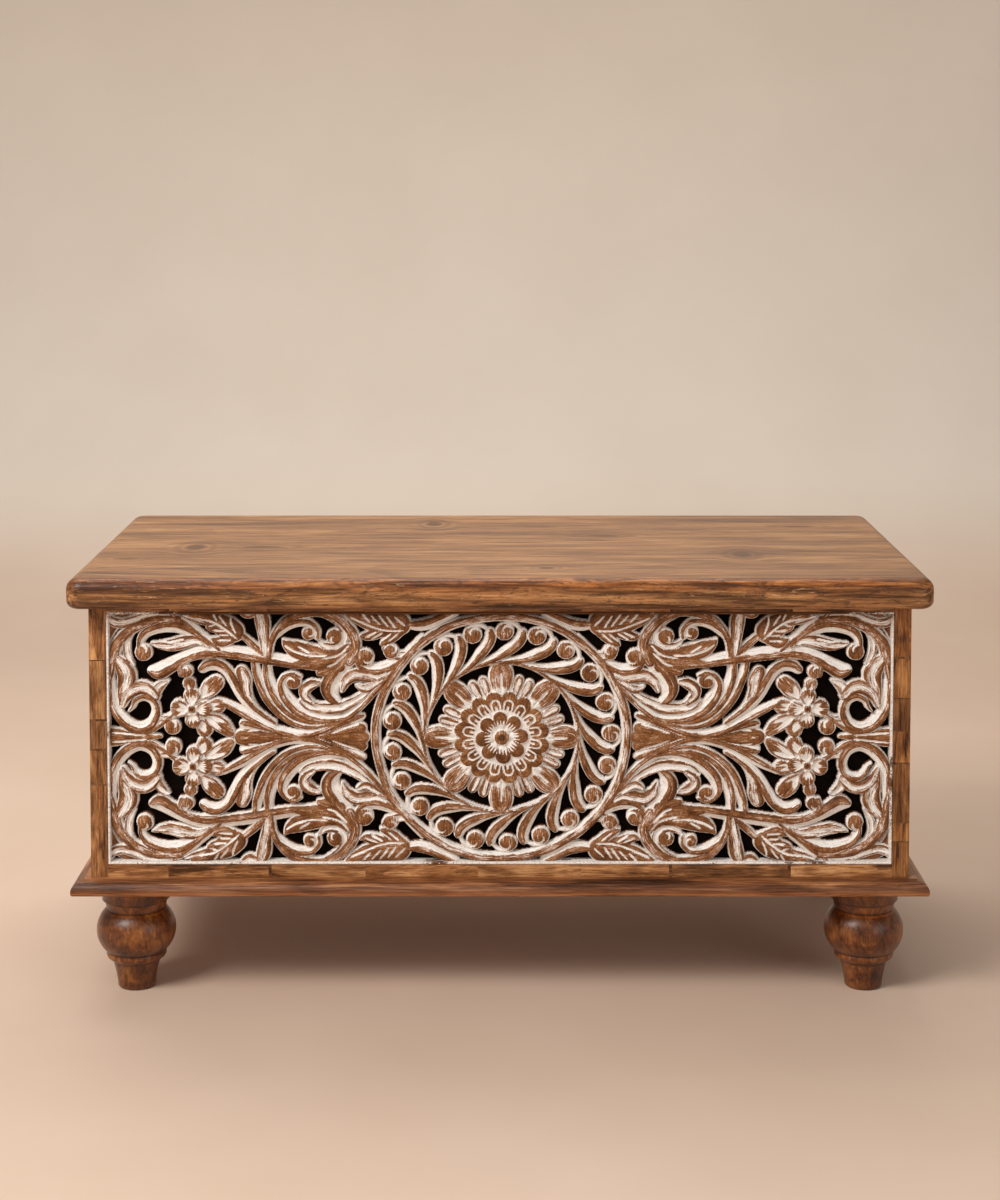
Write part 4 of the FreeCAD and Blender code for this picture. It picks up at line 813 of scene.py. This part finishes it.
def border_object(name, panel):
    """The thin painted strip round the carving, with eased edges."""
    depth = panel["depth"]
    profile = (
        (0.0, 0.0), (0.0, depth - BORDER_EASE), (BORDER_EASE, depth),
        (BORDER - BORDER_EASE, depth), (BORDER, depth - BORDER_EASE), (BORDER, 0.0),
    )
    points, faces = [], []
    for inset, level in profile:
        half_x, half_z = panel["half_x"] - inset, panel["half_z"] - inset
        for x, z in ((-half_x, -half_z), (half_x, -half_z), (half_x, half_z), (-half_x, half_z)):
            points.append((x * MM, (panel["back"] - level) * MM, (z + panel["middle"]) * MM))
    for ring in range(len(profile)):
        after = (ring + 1) % len(profile)
        for side in range(4):
            beside = (side + 1) % 4
            faces.append((4 * ring + side, 4 * ring + beside, 4 * after + beside, 4 * after + side))
    mesh = bpy.data.meshes.new(name)
    mesh.from_pydata(points, [], faces)
    return add_object(name, mesh)


class Nodes:
    """Shorthand for one material's nodes."""

    def __init__(self, name):
        self.material = bpy.data.materials.new(name)
        self.material.use_nodes = True
        self.tree = self.material.node_tree
        self.shader = self.tree.nodes["Principled BSDF"]

    def node(self, kind, inputs=(), **settings):
        made = self.tree.nodes.new("ShaderNode" + kind)
        for key, value in settings.items():
            setattr(made, key, value)
        for key, value in dict(inputs).items():
            self.feed(made.inputs[key], value)
        return made

    def feed(self, socket, value):
        if isinstance(value, bpy.types.NodeSocket):
            self.tree.links.new(value, socket)
        else:
            socket.default_value = value

    def place(self):
        return self.node("TexCoord").outputs["Object"]

    def axis(self, name):
        """One of the object coordinates X, Y and Z."""
        return self.node("SeparateXYZ", {0: self.place()}).outputs["XYZ".index(name)]

    def moved(self, vector, **settings):
        return self.node("Mapping", {"Vector": vector, **settings}).outputs[0]

    def vectors(self, operation, first, second=None):
        """The length of a vector, its multiple by a value, or its sum or product with another."""
        inputs = {0: first}
        if second is not None:
            inputs["Scale" if operation == "SCALE" else 1] = second
        made = self.node("VectorMath", inputs, operation=operation)
        return made.outputs["Value" if operation == "LENGTH" else "Vector"]

    def noise(self, vector, scale=1.0, detail=3.0, rough=0.55, distortion=0.0):
        made = self.node("TexNoise", {
            "Vector": vector, "Scale": scale, "Detail": detail, "Roughness": rough, "Distortion": distortion})
        return made.outputs[0]

    def streaks(self, vector, scale, seed, detail, rough=0.55, distortion=0.0):
        """Noise drawn out by a scale along and across, from another place for each seed."""
        shift = (1.7 * seed, 2.9 * seed, 0.6 * seed)
        drawn_out = self.moved(vector, Scale=(scale[0], scale[1], scale[-1]), Location=shift)
        return self.noise(drawn_out, 1.0, detail, rough, distortion)

    def math(self, operation, first, second=0.0, clamp=False):
        return self.node("Math", {0: first, 1: second}, operation=operation, use_clamp=clamp).outputs[0]

    def times(self, first, second):
        return self.math("MULTIPLY", first, second)

    def most(self, first, second):
        return self.math("MAXIMUM", first, second)

    def weighted(self, parts):
        """The sum of values about their middle, each times its weight, about one half."""
        total = 0.5
        for value, weight in parts:
            total = self.math("ADD", self.times(self.math("SUBTRACT", value, 0.5), weight), total)
        return total

    def share(self, value, low, high):
        """Where a value lies between two others."""
        return self.node("MapRange", {0: value, 1: low, 2: high}).outputs[0]

    def grey(self, value, low, high, dark=0.0, pale=1.0):
        """A soft threshold between two values."""
        inputs = {0: value, 1: low, 2: high, 3: dark, 4: pale}
        return self.node("MapRange", inputs, clamp=True, interpolation_type="SMOOTHSTEP").outputs[0]

    def ramp(self, value, places, colours, interpolation="LINEAR"):
        made = self.node("ValToRGB", {"Fac": value})
        made.color_ramp.interpolation = interpolation
        elements = made.color_ramp.elements
        while len(elements) < len(places):
            elements.new(0.5)
        for element, place, colour in zip(elements, places, colours):
            element.position = place
            element.color = (*colour, 1.0)
        return made.outputs[0]

    def mix(self, factor, first, second, blend="MIX"):
        made = self.node("Mix", data_type="RGBA", blend_type=blend)
        self.feed(made.inputs[0], factor)
        for index, value in ((6, first), (7, second)):
            self.feed(made.inputs[index], (*value, 1.0) if isinstance(value, tuple) else value)
        return made.outputs[2]

    def tinted(self, colour, shade):
        return self.mix(1.0, colour, shade, "MULTIPLY")

    def bump(self, height, distance, strength):
        made = self.node("Bump", {"Height": height, "Distance": distance, "Strength": strength})
        self.feed(self.shader.inputs["Normal"], made.outputs[0])

    def finish(self, colour, roughness, coat=0.0, specular=0.3, metallic=0.0):
        values = {
            "Base Color": colour, "Roughness": roughness, "Specular IOR Level": specular,
            "Metallic": metallic, "Coat Weight": coat, "Coat Roughness": 0.3,
        }
        for name, value in values.items():
            self.feed(self.shader.inputs[name], value)
        return self.material


def grain_vector(nodes, axis, block=None):
    """Object coordinates turned so that the grain runs along the first of them, moved on for each block."""
    along = nodes.moved(nodes.place(), Rotation=GRAIN_TURNS[axis])
    return along if block is None else nodes.vectors("ADD", along, block)


def growth_rings(nodes, base, seed, scale):
    """Lines of slow growth that run along a board, arch over its face, and end sharply on one side."""
    hill = nodes.streaks(base, (RING_DRIFT, scale), seed, 2, 0.4, 0.4)
    saw = nodes.math("FRACT", nodes.times(hill, RING_COUNT))
    return nodes.grey(saw, 0.5, 1.0, 0.65, 0.0)


def bent_grain(nodes, base, knots):
    """The grain pushed aside round each knot, and how dark the knots make it."""
    dark = 0.0
    for along, across, long, wide in knots:
        off = nodes.moved(base, Scale=(1 / long, 1 / wide, 0), Location=(-along / long, -across / wide, 0))
        distance = nodes.vectors("LENGTH", off)
        near = nodes.grey(distance, 0.2, 2.0, 1.0, 0.0)
        push = nodes.vectors("MULTIPLY", off, (0, -0.8 * wide, 0))
        base = nodes.vectors("ADD", base, nodes.vectors("SCALE", push, near))
        wave = nodes.math("SINE", nodes.times(distance, KNOT_RINGS))
        rings = nodes.times(nodes.math("ADD", wave, 1.0), 0.35)
        eye = nodes.grey(distance, 0.3, 0.7, 1.0, 0.0)
        dark = nodes.most(dark, nodes.most(nodes.times(near, rings), eye))
    return base, dark


def wood_layers(nodes, base, seed, ring_scale, figure, knots):
    """The figure of a board, its fibres, its finest lines, and its cracks, flecks and knots."""
    along, across, *weights, fleck = figure
    base, dark = bent_grain(nodes, base, knots)
    rings = growth_rings(nodes, base, seed, ring_scale)
    streaks = nodes.streaks(base, (along, across), seed, 5, 0.62, 0.6)
    clouds = nodes.streaks(base, (0.6 * along, 0.3 * across), seed + 2, 3, distortion=1.0)
    fibres = nodes.streaks(base, (2 * along, 5 * across), seed + 3, 4, 0.65)
    fine = nodes.streaks(base, FINE_LINES, seed + 4, 2, 0.6)
    cracks = nodes.streaks(base, (1.4 * along, 3 * across), seed + 5, 3, distortion=0.5)
    flecks = nodes.streaks(base, (4 * along, 2.2 * across), seed + 6, 4, 0.7, 1.5)
    mixed = nodes.weighted(zip((rings, streaks, clouds, fibres), weights))
    marks = nodes.most(nodes.times(nodes.grey(cracks, 0.66, 0.7), 0.7), dark)
    marks = nodes.most(marks, nodes.times(nodes.grey(flecks, 0.58, 0.7), fleck))
    return mixed, fibres, fine, marks


def wood_colour(nodes, tones, mixed, fine, marks):
    colour = nodes.ramp(mixed, (0.24, 0.48, 0.76), tones)
    lines = nodes.ramp(fine, (0.3, 0.65), FINE_SHADES)
    mark = tuple(MARK_SHARE * part for part in tones[0])
    return nodes.mix(nodes.times(marks, 0.8), nodes.tinted(colour, lines), mark)


def wood_material(name, axis, tones, seed, figure, ring_scale=12.0, roughness=0.42, dressing=None, knots=(),
                  coat=0.06, blocks=None):
    """A satin board or a row of blocks; dressing changes its colour further."""
    nodes = Nodes(name)
    block = block_tones(nodes, *blocks) if blocks else None
    base = grain_vector(nodes, axis, block)
    mixed, fibres, fine, marks = wood_layers(nodes, base, seed, ring_scale, figure, knots)
    colour = wood_colour(nodes, tones, mixed, fine, marks)
    if blocks:
        colour = nodes.tinted(colour, block)
    if dressing:
        colour = dressing(nodes, colour, mixed)
    nodes.bump(nodes.weighted(((fibres, 0.8), (fine, 0.5), (marks, -0.8))), 0.0008, 0.6)
    return nodes.finish(colour, nodes.grey(mixed, 0.3, 0.75, roughness - 0.06, roughness + 0.1), coat)


def block_tones(nodes, axis, span, joints, tint):
    """Short lengths of wood in a row: each has its own tone, with a fine dark joint between."""
    line = BLOCK_JOINT / (span[1] - span[0])
    stops = []
    for start, tone in joints:
        if start > 0:
            stops.append((start - line / 2, BLOCK_JOINT_TONE))
        stops.append((start + (line / 2 if start > 0 else 0), tuple(tone * share for share in tint)))
    return nodes.ramp(nodes.share(nodes.axis(axis), *span), *zip(*stops), "CONSTANT")


def plank_edges(name):
    """A dressing with a fine dark line along the joints above and below a plank."""
    low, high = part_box(name)

    def dress_edges(nodes, colour, _mixed):
        up = nodes.axis("Z")
        below = nodes.grey(up, low.z + PLANK_JOINT, low.z + PLANK_JOINT / 3)
        above = nodes.grey(up, high.z - PLANK_JOINT, high.z - PLANK_JOINT / 3)
        return nodes.mix(nodes.times(nodes.most(below, above), 0.8), colour, PLANK_TONES[0])

    return dress_edges


def worn_and_shaded_edge(nodes, colour, _mixed):
    """The lid's front edge: golden and darkened as painted shade on its upper round, with streaks, cracks,
    dents and scratches.
    """
    front = nodes.grey(nodes.axis("Y"), *LID_EDGE_Y)
    base = grain_vector(nodes, "x")
    long_streaks = nodes.streaks(base, (7, 150), 5, 5, 0.65, 0.5)
    scratches = nodes.streaks(base, (30, 240), 3, 4, 0.75, 1.8)
    dents = nodes.streaks(base, (24, 95), 8, 5, 0.7, 2.2)
    wander = nodes.streaks(base, (16, 130), 11, 4, 0.55, 1.4)
    crack = nodes.grey(nodes.math("ABSOLUTE", nodes.math("SUBTRACT", wander, 0.5)), 0.006, 0.022, 1.0, 0.0)
    crack = nodes.times(crack, nodes.grey(dents, 0.42, 0.54))
    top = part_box("lid_plank_front")[1].z
    upper = nodes.grey(nodes.axis("Z"), top - LID_EDGE_DROP[0], top - LID_EDGE_DROP[1])
    shade = nodes.ramp(long_streaks, (0.39, 0.6), EDGE_SHADES)
    # Golden tint that also darkens the upper round as painted shade against its highlight
    golden_and_shade = nodes.ramp(dents, (0.42, 0.58), GOLDEN_TINT_AND_SHADE)
    colour = nodes.mix(front, colour, nodes.tinted(colour, shade))
    colour = nodes.mix(nodes.times(front, upper), colour, nodes.tinted(colour, golden_and_shade))
    dark = nodes.times(front, nodes.most(nodes.grey(dents, 0.56, 0.64), crack))
    pale = nodes.times(front, nodes.grey(scratches, 0.6, 0.68))
    colour = nodes.mix(nodes.times(dark, 0.7), colour, DENT_TONE)
    return nodes.mix(nodes.times(pale, 0.7), colour, SCRATCH_TONE)


def worn_plinth(nodes, colour, mixed):
    """The plinth's upper round is dark and smooth, its lower edge is rubbed to a golden brown."""
    low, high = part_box("plinth_front")
    share = nodes.share(nodes.axis("Z"), low.z, high.z)
    rubbed = nodes.math("ADD", share, nodes.times(nodes.math("SUBTRACT", mixed, 0.5), 0.9))
    return nodes.tinted(colour, nodes.ramp(rubbed, *zip(*PLINTH_BANDS)))


def foot_shade_and_highlights(nodes, colour, _mixed):
    """Painted shade darkens the grooves of the turning, and painted highlights brighten its rings."""
    low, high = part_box("foot_front_left")
    share = nodes.share(nodes.axis("Z"), low.z, high.z)
    places, tones = zip(*FOOT_SHADE_AND_HIGHLIGHT_BANDS)
    return nodes.tinted(colour, nodes.ramp(share, places, [(tone, tone, tone) for tone in tones]))


def carved_material():
    """Brown wood rubbed bare on the crests, whitewash dragged into the hollows along each stem, and painted
    shade beside the pale outlines and on the walls of the piercings.
    """
    nodes = Nodes("carved_wood")
    wash_and_shade = nodes.node("Attribute", attribute_name="wash_and_shade").outputs["Fac"]
    grain = nodes.node("Attribute", attribute_name="grain").outputs["Vector"]
    streak = nodes.streaks(grain, (0.07, 0.9, 1.0), 1, 4, 0.65)
    hatch = nodes.streaks(grain, (0.12, 2.3, 1.0), 2, 3, 0.6)
    speck = nodes.noise(nodes.place(), 480.0, 3, 0.7)
    patch = nodes.noise(nodes.place(), 60.0, 3, 0.6)
    drag = nodes.weighted(((streak, 1.5), (hatch, 1.5), (speck, 0.5), (patch, 0.8)))
    cover = nodes.grey(nodes.math("ADD", wash_and_shade, drag), 0.67, 1.02)
    figure = nodes.weighted(((streak, 0.9), (hatch, 1.0), (patch, 0.8), (speck, 0.6)))
    tone = nodes.math("ADD", nodes.math("MULTIPLY", wash_and_shade, 0.45, True), figure)
    brown = nodes.ramp(tone, (0.2, 0.48, 0.76), CARVED_BROWN)
    # Painted shade: the brown darkens where the value falls below zero, beside the outlines and on the walls
    line = nodes.ramp(nodes.grey(wash_and_shade, -0.45, 0.0), (0.0, 1.0), OUTLINE_PAINTED_SHADE)
    paint = nodes.weighted(((streak, 0.8), (hatch, 0.9), (speck, 0.4)))
    white = nodes.ramp(paint, (0.26, 0.52), WHITEWASH)
    colour = nodes.mix(cover, nodes.tinted(brown, line), white)
    nodes.bump(nodes.weighted(((streak, 0.7), (hatch, 0.6), (speck, 0.3))), 0.0007, 0.6)
    return nodes.finish(colour, nodes.grey(cover, 0.0, 1.0, 0.5, 0.75))


def border_material():
    """The painted strip: white, worn to brown in places; along the middle of the top it is brown as painted
    shade under the lid.
    """
    nodes = Nodes("border_paint")
    wear = nodes.noise(nodes.moved(nodes.place(), Scale=(22, 60, 22)), 1.0, 4, 0.65)
    speck = nodes.noise(nodes.place(), 500.0, 3, 0.7)
    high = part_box("carved_front_panel")[1].z
    top = nodes.grey(nodes.axis("Z"), high - BORDER_SHADE_TOP[0], high - BORDER_SHADE_TOP[1])
    middle = nodes.grey(nodes.math("ABSOLUTE", nodes.axis("X")), *BORDER_SHADE_MIDDLE, 0.34, 0.1)
    paint = nodes.weighted(((wear, 1.0), (speck, 0.25)))
    # Along the top the paint gives way to brown as painted shade under the lid
    cover = nodes.grey(nodes.math("SUBTRACT", paint, nodes.times(top, middle)), 0.33, 0.43)
    white = nodes.ramp(speck, (0.3, 0.6), WHITEWASH)
    nodes.bump(speck, 0.0004, 0.5)
    return nodes.finish(nodes.mix(cover, BORDER_WORN_AND_SHADED, white), nodes.grey(cover, 0.0, 1.0, 0.5, 0.7))


def backing_material():
    """Dark stained board, made near black as painted shade so that the piercings read as black."""
    nodes = Nodes("backing_wood")
    fibres = nodes.noise(nodes.moved(nodes.place(), Scale=(9, 300, 300)), 1.0, 3)
    colour = nodes.ramp(fibres, (0.3, 0.7), BACKING_STAIN_AND_SHADE)
    nodes.bump(fibres, 0.0003, 0.5)
    return nodes.finish(colour, nodes.grey(fibres, 0.3, 0.7, 0.75, 0.95), specular=0.05)


def steel_material(name, base, roughness):
    """Plain brushed steel with faint tarnish."""
    nodes = Nodes(name)
    brushed = nodes.noise(nodes.moved(nodes.place(), Scale=(30, 900, 900)), 1.0, 3)
    tarnish = nodes.noise(nodes.place(), 90.0, 4)
    shade = nodes.math("ADD", nodes.times(brushed, 0.4), nodes.times(tarnish, 0.6))
    dull = tuple(TARNISH_SHARE * part for part in base)
    colour = nodes.ramp(shade, (0.3, 0.65), (dull, base))
    nodes.bump(brushed, 0.0002, 0.4)
    return nodes.finish(colour, nodes.grey(tarnish, 0.3, 0.7, roughness, roughness + 0.2), metallic=1.0)


def stile_material(side):
    low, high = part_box("front_stile_" + side)
    seed, tint, joints = STILE_BLOCKS[side]
    return wood_material("frame_wood_" + side, "z", FRAME_TONES, seed, FRAME_FIGURE,
                         blocks=("Z", (low.z, high.z), joints, tint))


def rail_material():
    low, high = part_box("front_bottom_rail")
    seed, tint, joints = RAIL_BLOCKS
    return wood_material("frame_wood_rail", "x", FRAME_TONES, seed, FRAME_FIGURE,
                         blocks=("X", (low.x, high.x), joints, tint))


def pieces(start):
    """Nodes whose names start so, apart from their fasteners."""
    return [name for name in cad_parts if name.startswith(start) and not name.endswith(FASTENERS)]


def dress(names, material):
    for name in names:
        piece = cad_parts[name]
        if not piece.material_slots:
            piece.data.materials.append(material)
        for slot in piece.material_slots:
            slot.material = material


def dress_lid():
    for seed, row in enumerate(("front", "middle_front", "middle_rear", "rear")):
        dressing = worn_and_shaded_edge if row == "front" else None
        wood = wood_material("lid_wood_" + row, "x", LID_TONES, 1.0 + seed, LID_FIGURE, 9.0, 0.4,
                             dressing, LID_KNOTS)
        dress(["lid_plank_" + row], wood)


def dress_walls():
    for wall, axis, seed in WALLS:
        for row, shift in WALL_ROWS:
            name = wall + row
            wood = wood_material(name + "_wood", axis, PLANK_TONES, seed + shift, PLANK_FIGURE,
                                 dressing=plank_edges(name))
            dress([name], wood)


def dress_front():
    for side in STILE_BLOCKS:
        dress(["front_stile_" + side], stile_material(side))
    dress(["front_bottom_rail", "front_top_rail"], rail_material())
    dress(["front_backing_board"], backing_material())


def dress_base():
    for axis, sides in (("x", ("front", "back")), ("y", ("left", "right"))):
        wood = wood_material("plinth_wood_" + axis, axis, PLINTH_TONES, 2.6, PLINTH_FIGURE, 11.0, 0.36,
                             worn_plinth, coat=0.15)
        dress(["plinth_" + side for side in sides], wood)
    wood = wood_material("foot_wood", "z", FOOT_TONES, 1.4, FOOT_FIGURE, 16.0, 0.34, foot_shade_and_highlights, coat=0.4)
    dress(pieces("foot_"), wood)


def dress_inside():
    for start, axis in (("lid_batten_", "y"), ("floor_", "x"), ("corner_block_", "z")):
        wood = wood_material("inner_wood_" + axis, axis, INNER_TONES, 5.2, PLANK_FIGURE, roughness=0.55)
        dress(pieces(start), wood)


def dress_metal():
    dress(pieces("hinge_"), steel_material("hinge_steel", HINGE_STEEL, 0.34))
    fasteners = [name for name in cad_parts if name.endswith(FASTENERS)]
    dress(fasteners, steel_material("screw_steel", SCREW_STEEL, 0.3))


def carve_front():
    """The carving's left and right halves, its medallion and its border, in place of the plain panel."""
    low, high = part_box("carved_front_panel")
    panel = {
        "half_x": (high.x - low.x) / 2 / MM, "half_z": (high.z - low.z) / 2 / MM, "back": high.y / MM,
        "depth": (high.y - low.y) / MM, "middle": (low.z + high.z) / 2 / MM,
    }
    left = joined_below(quarter_relief(panel))
    carved = [
        relief_object("carved_scrolls_left", left, panel),
        relief_object("carved_scrolls_right", turned_over(left), panel),
        relief_object("carved_medallion", medallion_relief(panel), panel),
    ]
    wood = carved_material()
    for piece in carved:
        piece.data.materials.append(wood)
    border = border_object("carved_border", panel)
    border.data.materials.append(border_material())
    for piece in carved + [border]:
        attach(piece, "carcass")
        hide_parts("carved_front_panel")


def add_camera():
    data = bpy.data.cameras.new("camera")
    data.lens = CAMERA_LENS
    data.shift_y = CAMERA_SHIFT_Y
    camera = add_object("camera", data)
    camera.location = CAMERA_PLACE
    camera.rotation_euler = (math.pi / 2 - CAMERA_DIP, 0, 0)
    bpy.context.scene.camera = camera


def add_light(name, place, target, size, energy, colour):
    data = bpy.data.lights.new(name, "AREA")
    data.shape = "RECTANGLE"
    data.size, data.size_y = size
    data.energy = energy
    data.color = colour
    light = add_object(name, data)
    light.location = place
    light.rotation_euler = (Vector(target) - Vector(place)).to_track_quat("-Z", "Y").to_euler()


def add_lights():
    for light in LIGHTS:
        add_light(*light)
    world = bpy.data.worlds.new("studio")
    world.use_nodes = True
    world.node_tree.nodes["Background"].inputs["Color"].default_value = WORLD_COLOUR
    world.node_tree.nodes["Background"].inputs["Strength"].default_value = WORLD_STRENGTH
    bpy.context.scene.world = world


def floor_material():
    nodes = Nodes("studio_floor")
    mottle = nodes.noise(nodes.place(), 3.0, 4)
    ground, wall = (nodes.ramp(mottle, (0.3, 0.7), tones) for tones in (FLOOR_TONES, BACKDROP_TONES))
    colour = nodes.mix(nodes.grey(nodes.axis("Z"), *BACKDROP_FADE), ground, wall)
    return nodes.finish(colour, nodes.grey(mottle, 0.3, 0.7, 0.6, 0.7))


def add_stage():
    """A plain pale floor that curves up into a backdrop."""
    width, near, far, radius, top, bends = 7.0, -5.0, 1.5, 1.2, 4.5, 20
    profile = [(near, 0.0), (far, 0.0)]
    for index in range(1, bends + 1):
        angle = math.pi / 2 * index / bends
        profile.append((far + radius * math.sin(angle), radius * (1 - math.cos(angle))))
    profile.append((far + radius, top))
    points = [(side * width, y, z) for y, z in profile for side in (-1, 1)]
    faces = [(2 * i, 2 * i + 1, 2 * i + 3, 2 * i + 2) for i in range(len(profile) - 1)]
    mesh = bpy.data.meshes.new("studio_floor")
    mesh.from_pydata(points, [], faces)
    mesh.shade_smooth()
    floor = add_object("studio_floor", mesh)
    mesh.materials.append(floor_material())


dress_lid()
dress_walls()
dress_front()
dress_base()
dress_inside()
dress_metal()
carve_front()
add_camera()
add_lights()
add_stage()
bpy.context.scene.view_settings.view_transform = "Standard"
